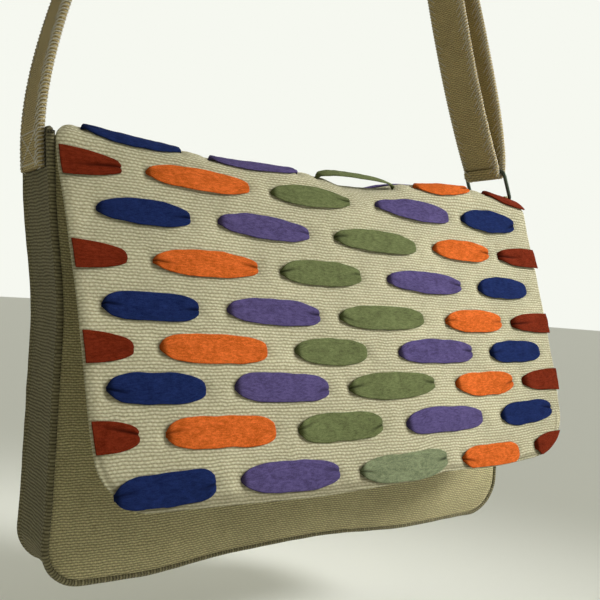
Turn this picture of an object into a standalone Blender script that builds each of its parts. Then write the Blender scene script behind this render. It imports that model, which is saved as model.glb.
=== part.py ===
"""Linen shoulder bag with a stitched flap, hanging from its strap.

Metres, +Z up, the bag's front faces -Y. The origin is the underside of the strap's crown,
where the bag hangs.
"""
from collections import namedtuple
from math import asin, cos, pi, radians, sin, tau

import bmesh
import bpy
from mathutils import Vector

# Body
BODY_WIDTH = 0.344
BODY_HEIGHT = 0.239
BODY_DEPTH = 0.052
BODY_WALL = 0.0022
BODY_CORNER_LEFT = 0.021
BODY_CORNER_RIGHT = 0.029
SEAM_ROLL = 0.0014
PANEL_RECESS = 0.0008
PANEL_CROWN = 0.006
SIDE_FLARE = 0.011
BOTTOM_WAVE = 0.006
FOLD_SAG = 0.010
FRONT_EDGE_DROP = 0.008
BACK_EDGE_DROP = 0.0028

# Flap
FLAP_WIDTH = 0.363
FLAP_LENGTH = 0.207
FLAP_WALL = 0.0022
FLAP_LEAN = radians(18.5)
FLAP_STAND = 0.0033
FOLD_RADIUS = 0.014
BACK_FOLD_RADIUS = 0.006
BACK_BAND = 0.014
FLAP_CORNER_LEFT = 0.024
FLAP_CORNER_RIGHT = 0.032
FLAP_RIPPLE = 0.0012
RIPPLE_LENGTH = 0.150
HEM_RISE = 0.008

# Strap
STRAP_WIDTH = 0.035
STRAP_THICKNESS = 0.0038
STRAP_RISE = 0.451
STRAP_SEAM = 0.022
STRAP_TAIL = 0.024
CROWN_RADIUS = 0.020
SLIDER_RISE = 0.301

# Ring, its tab and the slider
RING_WIRE = 0.0028
RING_HEIGHT = 0.0236
RING_LEAN = radians(24)
RING_CORNER = 0.0036
RING_SIDE_PLAY = 0.0008
RING_FOOT = 0.0014
TAB_THICKNESS = 0.0018
TAB_SIDE_PLAY = 0.001
TAB_SEAM = 0.020
SLIDER_WALL = 0.0016
SLIDER_HEIGHT = 0.010
SLIDER_CORNER = 0.0026

# Suede stitches
STITCH_LENGTH = 0.065
STITCH_HEIGHT = 0.0166
SUEDE = 0.0013
STITCH_CROWN = 0.0007
STITCH_LEAST = 0.003
EDGE_MARGIN = 0.001
LOOP_RISE = 0.0045

# Clearances
SEAM_GAP = 0.0004
STITCH_GAP = 0.0005
TOP_INSET = 0.0039

BODY_TOP = -STRAP_RISE
FLAP_TOP = BODY_TOP + SEAM_GAP + FLAP_WALL
FRONT_FACE = -BODY_DEPTH / 2
BACK_FACE = BODY_DEPTH / 2

# Shares of the body's height and width; out is a share of the named depth of each form
Side = namedtuple("Side", "at left right")
SIDE_LINE = (
    Side(0.0, 1.0, 0.55), Side(0.15, 0.75, 0.35), Side(0.45, 0.0, 0.0), Side(0.80, 0.0, 0.0),
    Side(1.0, 0.1, 0.0),
)
Row = namedtuple("Row", "at out")
CROWN_LINE = (
    Row(0.0, 0.0), Row(0.10, 0.0), Row(0.35, 0.45), Row(0.75, 1.0), Row(0.93, 0.55), Row(1.0, 0.0),
)
BOTTOM_LINE = (
    Row(-0.50, -0.8), Row(-0.35, -0.9), Row(-0.17, 0.1), Row(0.03, 0.6), Row(0.23, 0.2),
    Row(0.42, 0.6), Row(0.50, 0.6),
)
# Height of the fold along the flap's width
SAG_LINE = (
    Row(-0.50, 0.30), Row(-0.33, 0.0), Row(-0.21, -0.36), Row(-0.09, -0.45), Row(0.01, -0.66),
    Row(0.13, -0.34), Row(0.18, 0.10), Row(0.37, 0.65), Row(0.51, 0.25),
)
HEM_LINE = (
    Row(-0.50, 0.0), Row(0.08, -0.1), Row(0.16, 0.40), Row(0.28, 0.45), Row(0.42, 1.0),
    Row(0.50, 1.3),
)

# Where that height dies out down the flap, as shares of the front fold's arc
SAG_FADE = (0.32, 1.92)

# Half widths of the flap, down from its fold, as shares of its length and of its width
Edge = namedtuple("Edge", "at left right")
FLAP_EDGES = (
    Edge(0.08, 0.496, 0.507), Edge(0.25, 0.487, 0.508), Edge(0.55, 0.474, 0.504),
    Edge(0.80, 0.467, 0.495), Edge(1.0, 0.458, 0.482),
)
# Where it widens to them from the body's top, as shares of its length
WIDENING = (-0.02, 0.08)

# The gusset across its depth: how far its seam edges roll out, and how its top edge dips
Across = namedtuple("Across", "at roll dip")
GUSSET_SECTION = (
    Across(-0.50, 0.35, 1.0), Across(-0.46, 1.0, 0.6), Across(-0.40, 0.0, 0.2),
    Across(0.0, -0.5, 0.0), Across(0.40, 0.0, 0.0), Across(0.46, 1.0, 0.0), Across(0.50, 0.35, 0.0),
)

# The stitches of a row, as shares of the flap's width and of a stitch's length.
# An edge stitch is caught in the flap's side: -1 in the left one, 1 in the right one.
Stitch = namedtuple("Stitch", "colour centre length edge")
FULL_ROW = (
    Stitch("blue", -0.367, 0.84, 0), Stitch("purple", -0.155, 0.98, 0),
    Stitch("green", 0.069, 1.06, 0), Stitch("orange", 0.296, 0.84, 0),
    Stitch("rust", 0.456, 0.62, 1),
)
SHIFTED_ROW = (
    Stitch("rust", -0.450, 0.42, -1), Stitch("orange", -0.269, 1.02, 0),
    Stitch("green", -0.052, 0.93, 0), Stitch("purple", 0.184, 1.03, 0),
    Stitch("blue", 0.395, 0.77, 0),
)
# Rows from the back of the fold down, as shares of the flap's length below the fold
ROW_PLACES = (-0.100, 0.030, 0.134, 0.2546, 0.3826, 0.5097, 0.616, 0.721, 0.834, 0.960)
LOOP_ROW = 1
LOOP_COLOUR = "green"

# How flat the loop is on top: 2 is a parabola
LOOP_SQUARENESS = 4

# A stitch along its length: its width and the height of its back, both pinched at its ends
Section = namedtuple("Section", "at width rise")
STITCH_SECTIONS = (
    Section(-0.50, 0.30, 0.0), Section(-0.45, 0.66, 0.5), Section(-0.33, 0.93, 1.0),
    Section(0.0, 1.0, 0.7), Section(0.33, 0.93, 1.0), Section(0.45, 0.66, 0.5),
    Section(0.50, 0.30, 0.0),
)

# Strap handles: shares of the height between the ring and the slider, or body and crown
LEFT_HANDLE = 0.26
INNER_HANDLE = 0.36
OUTER_TOP_HANDLE = 0.33
OUTER_LOW_HANDLE = 0.18
INNER_LEAN = radians(27.5)

# Step to either side that shows which way the flap faces
PROBE = 0.0005

# Divisions of the meshes
BODY_COLUMNS = 17
BODY_ROWS = 7
CORNER_STEPS = 4
FLAP_COLUMNS = 23
RING_SIDES = 8

COLOURS = {
    "linen_body": (0.30, 0.24, 0.15), "linen_flap": (0.56, 0.52, 0.38),
    "linen_strap": (0.24, 0.18, 0.10), "blue": (0.03, 0.05, 0.22), "purple": (0.13, 0.08, 0.28),
    "green": (0.17, 0.20, 0.08), "orange": (0.84, 0.19, 0.04), "rust": (0.28, 0.04, 0.015),
    "dark_metal": (0.10, 0.13, 0.11),
}


def material(name):
    """Principled material in one of the named colours."""
    made = bpy.data.materials.get(name) or bpy.data.materials.new(name)
    made.use_nodes = True
    shader = made.node_tree.nodes["Principled BSDF"]
    shader.inputs["Base Color"].default_value = (*COLOURS[name], 1.0)
    is_metal = name == "dark_metal"
    shader.inputs["Metallic"].default_value = 1.0 if is_metal else 0.0
    shader.inputs["Roughness"].default_value = 0.4 if is_metal else 0.9
    return made


def read(table, at, column="out"):
    """Value of a table's column at a place, on a smooth line that never overshoots."""
    places = [row[0] for row in table]
    values = [getattr(row, column) for row in table]
    if at <= places[0]:
        return values[0]
    if at >= places[-1]:
        return values[-1]
    steps = [
        (values[i + 1] - values[i]) / (places[i + 1] - places[i]) for i in range(len(table) - 1)
    ]
    slopes = [0.0] * len(table)
    for i in range(1, len(table) - 1):
        before, after = steps[i - 1], steps[i]
        if before * after > 0:
            slopes[i] = 2 * before * after / (before + after)
    i = max(k for k in range(len(table) - 1) if places[k] <= at)
    width = places[i + 1] - places[i]
    t = (at - places[i]) / width
    return (
        (1 + 2 * t) * (1 - t) ** 2 * values[i] + t * (1 - t) ** 2 * width * slopes[i]
        + t * t * (3 - 2 * t) * values[i + 1] + t * t * (t - 1) * width * slopes[i + 1]
    )


def ease(value, start, end):
    """0 before the start and 1 after the end, with a smooth way between them."""
    share = min(max((value - start) / (end - start), 0.0), 1.0)
    return share * share * (3 - 2 * share)


def spread(low, high, count):
    """Evenly spaced values, both ends included."""
    return [low + (high - low) * i / (count - 1) for i in range(count)]


def add_object(name, mesh_data, colour):
    """Object from a bmesh, its faces pointing out and its round parts smooth."""
    bmesh.ops.recalc_face_normals(mesh_data, faces=mesh_data.faces)
    mesh = bpy.data.meshes.new(name)
    mesh_data.to_mesh(mesh)
    mesh_data.free()
    mesh.materials.append(material(colour))
    mesh.shade_smooth()
    mesh.set_sharp_from_angle(angle=radians(50))
    made = bpy.data.objects.new(name, mesh)
    bpy.context.collection.objects.link(made)
    return made


def sheet(name, outer, inner, colour):
    """Cloth between two grids of points."""
    work = bmesh.new()
    top = [[work.verts.new(p) for p in row] for row in outer]
    low = [[work.verts.new(p) for p in row] for row in inner]
    rows, columns = len(top), len(top[0])
    for i in range(rows - 1):
        for j in range(columns - 1):
            work.faces.new((top[i][j], top[i + 1][j], top[i + 1][j + 1], top[i][j + 1]))
            work.faces.new((low[i][j], low[i][j + 1], low[i + 1][j + 1], low[i + 1][j]))
    border = [(0, j) for j in range(columns)] + [(i, columns - 1) for i in range(1, rows)]
    border += [(rows - 1, j) for j in range(columns - 2, -1, -1)]
    border += [(i, 0) for i in range(rows - 2, 0, -1)]
    for (i, j), (k, m) in zip(border, border[1:] + border[:1]):
        work.faces.new((top[i][j], top[k][m], low[k][m], low[i][j]))
    return add_object(name, work, colour)


def sweep(name, rings, colour, closed):
    """Tube through rings of points, closed on itself or with flat ends."""
    work = bmesh.new()
    loops = [[work.verts.new(p) for p in ring] for ring in rings]
    size = len(loops[0])
    pairs = list(zip(loops, loops[1:]))
    if closed:
        pairs.append((loops[-1], loops[0]))
    for a, b in pairs:
        for j in range(size):
            work.faces.new((a[j], a[(j + 1) % size], b[(j + 1) % size], b[j]))
    if not closed:
        work.faces.new(loops[0])
        work.faces.new(loops[-1])
    return add_object(name, work, colour)


def sag(x):
    """How far the fold and the body's top edges stand above or below their level."""
    return FOLD_SAG * read(SAG_LINE, x / FLAP_WIDTH)


def settle(x, down):
    """Place on the XZ plane of a point of the body's flat pattern."""
    share = down / BODY_HEIGHT
    flare = SIDE_FLARE * read(SIDE_LINE, share, "left" if x < 0 else "right")
    side = x * (1 + 2 * flare / BODY_WIDTH)
    lift = BOTTOM_WAVE * read(BOTTOM_LINE, x / BODY_WIDTH) * share ** 4
    return side, BODY_TOP - down + sag(side) * (1 - share) ** 3 + lift


def side_path(corner, inset=0.0):
    """A side's line from the top to the end of its corner: half width, depth and outward way."""
    straight = BODY_HEIGHT - corner
    path = [(BODY_WIDTH / 2 - inset, down, 1.0, 0.0) for down in spread(0.0, straight, BODY_ROWS)]
    for i in range(1, CORNER_STEPS + 1):
        a = pi / 2 * i / CORNER_STEPS
        half = BODY_WIDTH / 2 - corner + (corner - inset) * cos(a)
        path.append((half, straight + (corner - inset) * sin(a), cos(a), sin(a)))
    return path


def gusset_path():
    """The gusset's line down the left, under the bag and up the right, with its outward way."""
    left = [(-x, down, -out_x, out_down) for x, down, out_x, out_down in side_path(BODY_CORNER_LEFT)]
    right = side_path(BODY_CORNER_RIGHT)
    columns = spread(left[-1][0], right[-1][0], BODY_COLUMNS)[1:-1]
    return left + [(x, BODY_HEIGHT, 0.0, 1.0) for x in columns] + right[::-1]


def gusset():
    """Side strip with its seam edges rolled out."""
    def layer(stand):
        grid = []
        for x, down, out_x, out_down in gusset_path():
            row = []
            for part in GUSSET_SECTION:
                offset = stand * part.roll * SEAM_ROLL - (1 - stand) * BODY_WALL
                dip = FRONT_EDGE_DROP * part.dip if down == 0 else 0.0
                side, z = settle(x + out_x * offset, down + dip + out_down * offset)
                row.append(Vector((side, part.at * BODY_DEPTH, z)))
            grid.append(row)
        return grid
    return sheet("gusset", layer(1), layer(0), "linen_body")


def panel(name, face, top_drop):
    """Front or back of the body: face is -1 in front and 1 behind."""
    inset = BODY_WALL + SEAM_GAP
    lines = (side_path(BODY_CORNER_LEFT, inset), side_path(BODY_CORNER_RIGHT, inset))

    def layer(depth):
        grid = []
        for left, right in zip(*lines):
            row = []
            for share in spread(0.0, 1.0, BODY_COLUMNS):
                x = -left[0] + (right[0] + left[0]) * share
                down = max(left[1] + (right[1] - left[1]) * share, top_drop)
                side, z = settle(x, down)
                bulge = PANEL_CROWN * read(CROWN_LINE, down / BODY_HEIGHT)
                bulge *= 1 - (2 * share - 1) ** 4
                y = face * (BODY_DEPTH / 2 - PANEL_RECESS - depth + bulge)
                row.append(Vector((side, y, z)))
            grid.append(row)
        return grid
    return sheet(name, layer(0.0), layer(BODY_WALL), "linen_body")


def fold_turn():
    """Angle through which the cloth turns over the front fold."""
    return pi / 2 - FLAP_LEAN


def fold_arc():
    """Length of cloth on the front fold."""
    return FOLD_RADIUS * fold_turn()


def fold_centres():
    """Y of the centres of the front and back folds."""
    front = FRONT_FACE - FLAP_STAND + FOLD_RADIUS
    back = BACK_FACE - PANEL_RECESS + SEAM_GAP + FLAP_WALL - BACK_FOLD_RADIUS
    return front, back


def flap_profile(along):
    """Y and Z of the flap's outer face, and how steep it is, along the cloth from its top."""
    front, back = fold_centres()
    top_run = back - front
    if along > 0:
        turn = min(along / FOLD_RADIUS, fold_turn())
        y = front - FOLD_RADIUS * sin(turn)
        z = FLAP_TOP - FOLD_RADIUS * (1 - cos(turn))
        rest = max(0.0, along - fold_arc())
        return y - rest * sin(FLAP_LEAN), z - rest * cos(FLAP_LEAN)
    if along > -top_run:
        return front - along, FLAP_TOP
    turn = min((-along - top_run) / BACK_FOLD_RADIUS, pi / 2)
    y = back + BACK_FOLD_RADIUS * sin(turn)
    z = FLAP_TOP - BACK_FOLD_RADIUS * (1 - cos(turn))
    rest = max(0.0, -along - top_run - BACK_FOLD_RADIUS * pi / 2)
    return y, z - rest


def flap_skin(across, along):
    """Point of the flap's outer face."""
    share = along / FLAP_LENGTH
    hem = HEM_RISE * read(HEM_LINE, across / FLAP_WIDTH) * max(0.0, share) ** 3
    y, z = flap_profile(along - hem)
    z += sag(across) * (1 - ease(along / fold_arc(), *SAG_FADE))
    ripple = FLAP_RIPPLE * sin(tau * across / RIPPLE_LENGTH) * max(0.0, share)
    return Vector((across, y - ripple * cos(FLAP_LEAN), z + ripple * sin(FLAP_LEAN)))


def flap_point(across, along, out):
    """Point at a distance out from the flap's outer face."""
    right = flap_skin(across + PROBE, along) - flap_skin(across - PROBE, along)
    down = flap_skin(across, along + PROBE) - flap_skin(across, along - PROBE)
    return flap_skin(across, along) + out * down.cross(right).normalized()


def flap_edge(along, side, margin=0.0):
    """Distance from the middle to the flap's left (-1) or right (1) edge.

    Over the body's top the flap is narrower than the body, clear of the strap and the ring.
    """
    column = "left" if side < 0 else "right"
    corner = FLAP_CORNER_LEFT if side < 0 else FLAP_CORNER_RIGHT
    wide = ease(along / FLAP_LENGTH, *WIDENING)
    half = FLAP_WIDTH * read(FLAP_EDGES, along / FLAP_LENGTH, column)
    half = half * wide + (BODY_WIDTH / 2 - TOP_INSET) * (1 - wide)
    past = along - (FLAP_LENGTH - corner)
    if past > 0:
        half -= corner - (max(corner ** 2 - past ** 2, 0.0)) ** 0.5
    return half - margin


def flap_foot(x, margin):
    """Distance down the cloth to its lower edge, round its corners."""
    side = -1 if x < 0 else 1
    corner = FLAP_CORNER_LEFT if side < 0 else FLAP_CORNER_RIGHT
    half = FLAP_WIDTH * read(FLAP_EDGES, 1.0, "left" if side < 0 else "right")
    past = min(max(abs(x) - (half - corner), 0.0), corner)
    return FLAP_LENGTH - corner + (corner ** 2 - past ** 2) ** 0.5 - margin


def flap_rows():
    """Distances along the cloth of the flap's rows, from its back seam to its lower edge."""
    front, back = fold_centres()
    top_run = back - front
    back_arc = BACK_FOLD_RADIUS * pi / 2
    rows = [-top_run - back_arc - BACK_BAND, -top_run - back_arc - BACK_BAND / 2]
    rows += [-top_run - back_arc * (1 - i / 3) for i in range(4)]
    rows += [-top_run * share for share in (0.7, 0.4, 0.15)]
    rows += [fold_arc() * i / 6 for i in range(7)]
    straight_end = FLAP_LENGTH - FLAP_CORNER_RIGHT
    rows += spread(fold_arc(), straight_end, 9)[1:]
    rows += [straight_end + FLAP_CORNER_RIGHT * sin(pi / 2 * i / 5) for i in range(1, 6)]
    return rows


def flap():
    """One sheet from the back panel's top, over the opening and down the front."""
    def layer(out):
        grid = []
        for along in flap_rows():
            left, right = -flap_edge(along, -1), flap_edge(along, 1)
            grid.append([flap_point(x, along, out) for x in spread(left, right, FLAP_COLUMNS)])
        return grid
    return sheet("flap", layer(0.0), layer(-FLAP_WALL), "linen_flap")


def loop_point(ends, share, offset, out, arch):
    """Point of the strip that stands off the fold: flat across, and level at its highest."""
    middle = ends[0][1]
    base = flap_skin(*ends[0]).lerp(flap_skin(*ends[1]), share)
    tilt = middle / FOLD_RADIUS * (1 - arch)
    forward = Vector((0.0, -cos(tilt), -sin(tilt)))
    up = Vector((0.0, -sin(tilt), cos(tilt)))
    return base + forward * offset + up * (out + LOOP_RISE * arch)


def stitch(name, place, row_place, is_loop):
    """One strip of suede, its ends pinched where they pass through the flap.

    Its middle is never past the flap's edge, so that at least half of an edge stitch shows.
    """
    length = STITCH_LENGTH * place.length
    middle = FLAP_LENGTH * row_place
    centre = max(FLAP_WIDTH * place.centre, -flap_edge(middle, -1))
    centre = min(centre, flap_edge(middle, 1))
    over_fold = -STITCH_HEIGHT < middle < fold_arc()
    across = spread(-0.5, 0.5, 5 if over_fold else 3)

    def layer(thickness):
        grid = []
        for part in STITCH_SECTIONS:
            caught = place.edge * part.at > 0
            width = 1.0 if caught else part.width
            arch = 1 - (2 * part.at) ** LOOP_SQUARENESS
            upper = middle - STITCH_HEIGHT * width / 2
            reach = upper + STITCH_LEAST
            x = centre + length * part.at
            x = max(x, -flap_edge(reach, -1, EDGE_MARGIN))
            x = min(x, flap_edge(reach, 1, EDGE_MARGIN))
            lower = min(upper + STITCH_HEIGHT * width, flap_foot(x, EDGE_MARGIN))
            row = []
            for share in across:
                along = upper + (lower - upper) * (share + 0.5)
                back = STITCH_CROWN * part.rise * (1 - (2 * share) ** 2)
                out = STITCH_GAP + (SUEDE + back) * thickness
                if is_loop:
                    ends = [(centre + length * end, middle) for end in (-0.5, 0.5)]
                    row.append(loop_point(ends, part.at + 0.5, along - middle, out, arch))
                else:
                    row.append(flap_point(x, along, out))
            grid.append(row)
        return grid
    return sheet(name, layer(1), layer(0), place.colour)


def stitches():
    """Ten rows of five, every other row shifted by half a stitch."""
    for row, row_place in enumerate(ROW_PLACES):
        for column, place in enumerate(FULL_ROW if row % 2 else SHIFTED_ROW):
            is_loop = row == LOOP_ROW and place.colour == LOOP_COLOUR
            stitch(f"suede_{row}_{column + 1}", place, row_place, is_loop)


def band_section(half_width, half_thickness):
    """Rounded outline of a folded band: along Y, and out from its middle."""
    chamfer = half_thickness / 2
    edge = half_thickness / 2
    return (
        (-half_width, -edge), (-half_width + chamfer, -half_thickness),
        (half_width - chamfer, -half_thickness), (half_width, -edge), (half_width, edge),
        (half_width - chamfer, half_thickness), (-half_width + chamfer, half_thickness),
        (-half_width, edge),
    )


def band(name, route, width, thickness, colour):
    """Band that follows a route on the XZ plane."""
    rings = []
    for i, point in enumerate(route):
        ahead = (route[min(i + 1, len(route) - 1)] - route[max(i - 1, 0)]).normalized()
        out = Vector((ahead.z, 0.0, -ahead.x))
        rings.append([
            point + Vector((0.0, y, 0.0)) + out * n
            for y, n in band_section(width / 2, thickness / 2)
        ])
    return sweep(name, rings, colour, closed=False)


def leaning(angle):
    """Unit vector up, leaning to the bag's middle from its right side."""
    return Vector((-sin(angle), 0.0, cos(angle)))


def bezier(start, start_handle, end_handle, end, count):
    """Points of a curve, its first one left out."""
    points = []
    for i in range(1, count + 1):
        t = i / count
        s = 1 - t
        points.append(
            start * s ** 3 + start_handle * 3 * s * s * t + end_handle * 3 * s * t * t + end * t ** 3
        )
    return points


def arc(centre, radius, start, end, count):
    """Points on a circle in the XZ plane, both ends included."""
    return [
        centre + radius * Vector((cos(a), 0.0, sin(a))) for a in spread(start, end, count)
    ]


def ring_foot():
    """Middle of the ring's lower bar, above the gusset's right top edge."""
    x, z = settle(BODY_WIDTH / 2 - BODY_WALL / 2, 0.0)
    return Vector((x, 0.0, z + RING_FOOT + RING_WIRE / 2))


def ring_head():
    """Middle of the ring's upper bar, which the strap goes round."""
    return ring_foot() + RING_HEIGHT * leaning(RING_LEAN)


def slider_frame():
    """Middle of the slider, and the strap's direction up through it."""
    head = ring_head()
    crown = Vector((CROWN_RADIUS, 0.0, -CROWN_RADIUS))
    up = (crown - head).normalized()
    return head + up * (SLIDER_RISE - (head.z - BODY_TOP)) / up.z, up


def strap_route():
    """The strap's middle line: left seam, crown, slider, round the ring and back up."""
    half = STRAP_THICKNESS / 2
    middle, up = slider_frame()
    out = Vector((up.z, 0.0, -up.x))
    apart = out * (half + SEAM_GAP / 2)
    head = ring_head()
    loop = RING_WIRE / 2 + SEAM_GAP + half
    spread_angle = asin(-up.x)
    crown = Vector((0.0, 0.0, -CROWN_RADIUS))

    def sewn(down):
        x, z = settle(-BODY_WIDTH / 2, down)
        return Vector((x - SEAM_GAP - half, 0.0, z))
    route = [sewn(STRAP_SEAM), sewn(STRAP_SEAM / 2), sewn(0.0)]
    over = arc(crown, CROWN_RADIUS + half, pi - spread_angle, spread_angle, 9)
    rise = LEFT_HANDLE * STRAP_RISE
    route += bezier(
        route[-1], route[-1] + Vector((0, 0, rise)),
        over[0] - rise * Vector((sin(spread_angle), 0, cos(spread_angle))), over[0], 12,
    )
    route += over[1:]
    high = middle + apart + up * SLIDER_HEIGHT
    low = middle + apart - up * SLIDER_HEIGHT
    route += bezier(route[-1], route[-1].lerp(high, 1 / 3), route[-1].lerp(high, 2 / 3), high, 5)
    route += [middle + apart, low]
    run = SLIDER_RISE - (head.z - BODY_TOP)
    turn = arc(head, loop, 0.0, -pi - INNER_LEAN, 9)
    route += bezier(
        low, low - up * run * OUTER_TOP_HANDLE, turn[0] + Vector((0, 0, run * OUTER_LOW_HANDLE)),
        turn[0], 9,
    )
    route += turn[1:]
    inner_low = middle - apart - up * SLIDER_HEIGHT
    route += bezier(
        route[-1], route[-1] + leaning(INNER_LEAN) * run * INNER_HANDLE,
        inner_low - up * run * OUTER_TOP_HANDLE, inner_low, 8,
    )
    route += [middle - apart, middle - apart + up * STRAP_TAIL]
    return route


def rounded_rectangle(half_a, half_b, corner, steps):
    """Points round a rectangle and their outward directions, in two coordinates."""
    places = []
    for k, (sign_a, sign_b) in enumerate(((1, 1), (-1, 1), (-1, -1), (1, -1))):
        for angle in spread(k * pi / 2, (k + 1) * pi / 2, steps):
            places.append((
                sign_a * (half_a - corner) + corner * cos(angle),
                sign_b * (half_b - corner) + corner * sin(angle), cos(angle), sin(angle),
            ))
    return places


def strap_ring():
    """Rectangle of round wire, leaning in with the strap's pull."""
    up = leaning(RING_LEAN)
    side = Vector((0.0, 1.0, 0.0))
    flat = side.cross(up)
    middle = (ring_foot() + ring_head()) / 2
    half_width = STRAP_WIDTH / 2 + RING_SIDE_PLAY + RING_WIRE / 2
    rings = []
    for a, b, out_a, out_b in rounded_rectangle(half_width, RING_HEIGHT / 2, RING_CORNER, 4):
        centre = middle + side * a + up * b
        out = side * out_a + up * out_b
        rings.append([
            centre + RING_WIRE / 2 * (out * cos(tau * i / RING_SIDES) + flat * sin(tau * i / RING_SIDES))
            for i in range(RING_SIDES)
        ])
    return sweep("strap_ring", rings, "dark_metal", closed=True)


def ring_tab():
    """Linen tab, sewn to both faces of the gusset, with the ring's lower bar in its loop."""
    foot = ring_foot()
    reach = RING_WIRE / 2 + SEAM_GAP + TAB_THICKNESS / 2
    route = []
    for x_side, downs in ((1, (TAB_SEAM, TAB_SEAM / 2)), (-1, (TAB_SEAM / 2, TAB_SEAM))):
        leg = []
        for down in downs:
            x, z = settle(BODY_WIDTH / 2 - BODY_WALL / 2, down)
            leg.append(Vector((x + x_side * reach, 0.0, z)))
        if x_side > 0:
            route += leg + arc(foot, reach, 0.0, pi, 7)
        else:
            route += leg
    return band("ring_tab", route, STRAP_WIDTH - 2 * TAB_SIDE_PLAY, TAB_THICKNESS, "linen_body")


def strap_slider():
    """Flat metal loop round both layers of the strap."""
    middle, up = slider_frame()
    side = Vector((0.0, 1.0, 0.0))
    out = side.cross(up)
    half_width = STRAP_WIDTH / 2 + SEAM_GAP + SLIDER_WALL / 2
    half_stack = STRAP_THICKNESS + SEAM_GAP / 2
    half_depth = half_stack + SEAM_GAP + SLIDER_WALL / 2
    rings = []
    for a, b, out_a, out_b in rounded_rectangle(half_width, half_depth, SLIDER_CORNER, 3):
        centre = middle + side * a + out * b
        away = side * out_a + out * out_b
        rings.append([
            centre + away * SLIDER_WALL / 2 * n + up * SLIDER_HEIGHT / 2 * h
            for n, h in ((-1, -1), (1, -1), (1, 1), (-1, 1))
        ])
    return sweep("strap_slider", rings, "dark_metal", closed=True)


def main():
    for old in list(bpy.data.objects):
        bpy.data.objects.remove(old, do_unlink=True)
    panel("front_panel", -1, FRONT_EDGE_DROP + BACK_EDGE_DROP)
    panel("back_panel", 1, BACK_EDGE_DROP)
    gusset()
    flap()
    stitches()
    band("strap", strap_route(), STRAP_WIDTH, STRAP_THICKNESS, "linen_strap")
    strap_ring()
    ring_tab()
    strap_slider()


main()
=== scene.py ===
from bisect import bisect_right
from collections import namedtuple
from functools import lru_cache
from math import asin, cos, exp, hypot, pi, radians, sin, tau
from random import Random

import bpy
from mathutils import Matrix, Vector, noise


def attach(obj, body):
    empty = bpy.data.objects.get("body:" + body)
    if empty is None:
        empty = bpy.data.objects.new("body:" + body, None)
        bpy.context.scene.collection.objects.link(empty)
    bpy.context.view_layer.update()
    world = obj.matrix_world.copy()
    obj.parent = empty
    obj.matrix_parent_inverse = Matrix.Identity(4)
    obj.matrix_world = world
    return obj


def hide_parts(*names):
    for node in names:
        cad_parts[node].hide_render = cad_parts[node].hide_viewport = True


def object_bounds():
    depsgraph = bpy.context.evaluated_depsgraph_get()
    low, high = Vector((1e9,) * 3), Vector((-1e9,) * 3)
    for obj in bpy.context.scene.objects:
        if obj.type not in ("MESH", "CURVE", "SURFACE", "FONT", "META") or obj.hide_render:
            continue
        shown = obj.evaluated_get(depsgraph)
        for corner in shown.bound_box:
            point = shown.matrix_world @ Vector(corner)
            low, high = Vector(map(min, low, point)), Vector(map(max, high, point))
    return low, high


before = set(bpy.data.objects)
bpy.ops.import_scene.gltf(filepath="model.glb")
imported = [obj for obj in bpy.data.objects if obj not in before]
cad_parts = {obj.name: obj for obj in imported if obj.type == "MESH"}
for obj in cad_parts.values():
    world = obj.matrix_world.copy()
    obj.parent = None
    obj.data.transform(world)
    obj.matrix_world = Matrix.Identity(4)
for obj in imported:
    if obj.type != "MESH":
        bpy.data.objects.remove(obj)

bl_info = {
    "name": "Linen shoulder bag",
    "version": (1, 0, 0),
    "blender": (4, 5, 0),
    "location": "View3D > Sidebar > Bag",
    "description": "Linen, suede stitches, strap and metal of a bag that hangs by its strap",
    "category": "Object",
}

CAD_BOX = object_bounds()
BODY = "root"
MM = 0.001

# Seams, folds and corners that the solids have too
BODY_CORNER = {"left": 0.021, "right": 0.029}
SEAM_ROLL = 0.0014
PANEL_RECESS = 0.0008
PANEL_CROWN = 0.006
SIDE_FLARE = 0.011
BOTTOM_WAVE = 0.006
FOLD_SAG = 0.010
FRONT_EDGE_DROP = 0.008
BACK_EDGE_DROP = 0.0028
FLAP_STAND = 0.0033
FOLD_RADIUS = 0.014
BACK_FOLD_RADIUS = 0.006
BACK_BAND = 0.014
FLAP_CORNER = {"left": 0.024, "right": 0.032}
RIPPLE_LENGTH = 0.150
HEM_RISE = 0.008
STRAP_SEAM = 0.022
STRAP_TAIL = 0.024
CROWN_RADIUS = 0.020
RING_LEAN = radians(24)
RING_CORNER = 0.0036
RING_SIDE_PLAY = 0.0008
RING_FOOT = 0.0014
TAB_THICKNESS = 0.0018
TAB_SIDE_PLAY = 0.001
TAB_SEAM = 0.020
SLIDER_WALL = 0.0016
SLIDER_HEIGHT = 0.010
SLIDER_CORNER = 0.0026
LOOP_RISE = 0.0032
LOOP_SQUARENESS = 4
LOOP_FLATTENING = 0.15
SEAM_GAP = 0.0004
STITCH_GAP = 0.0005
TOP_INSET = 0.0039

# Shares of the body's height and width; out is a share of the named depth of each form
Side = namedtuple("Side", "at left right")
SIDE_LINE = (
    Side(0.0, 1.0, 0.55), Side(0.15, 0.75, 0.35), Side(0.45, 0.0, 0.0), Side(0.80, 0.0, 0.0),
    Side(1.0, 0.1, 0.0),
)
Row = namedtuple("Row", "at out")
CROWN_LINE = (
    Row(0.0, 0.0), Row(0.10, 0.0), Row(0.35, 0.45), Row(0.75, 1.0), Row(0.93, 0.55), Row(1.0, 0.0),
)
BOTTOM_LINE = (
    Row(-0.50, -0.8), Row(-0.35, -0.9), Row(-0.17, 0.1), Row(0.03, 0.6), Row(0.23, 0.2),
    Row(0.42, 0.6), Row(0.50, 0.6),
)
SAG_LINE = (
    Row(-0.50, 0.30), Row(-0.33, 0.0), Row(-0.21, -0.26), Row(-0.06, -0.18), Row(-0.02, -0.26),
    Row(0.03, -0.66), Row(0.13, -0.34), Row(0.18, 0.10), Row(0.37, 0.65), Row(0.51, 0.25),
)
SAG_FADE = (0.32, 1.92)
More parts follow.
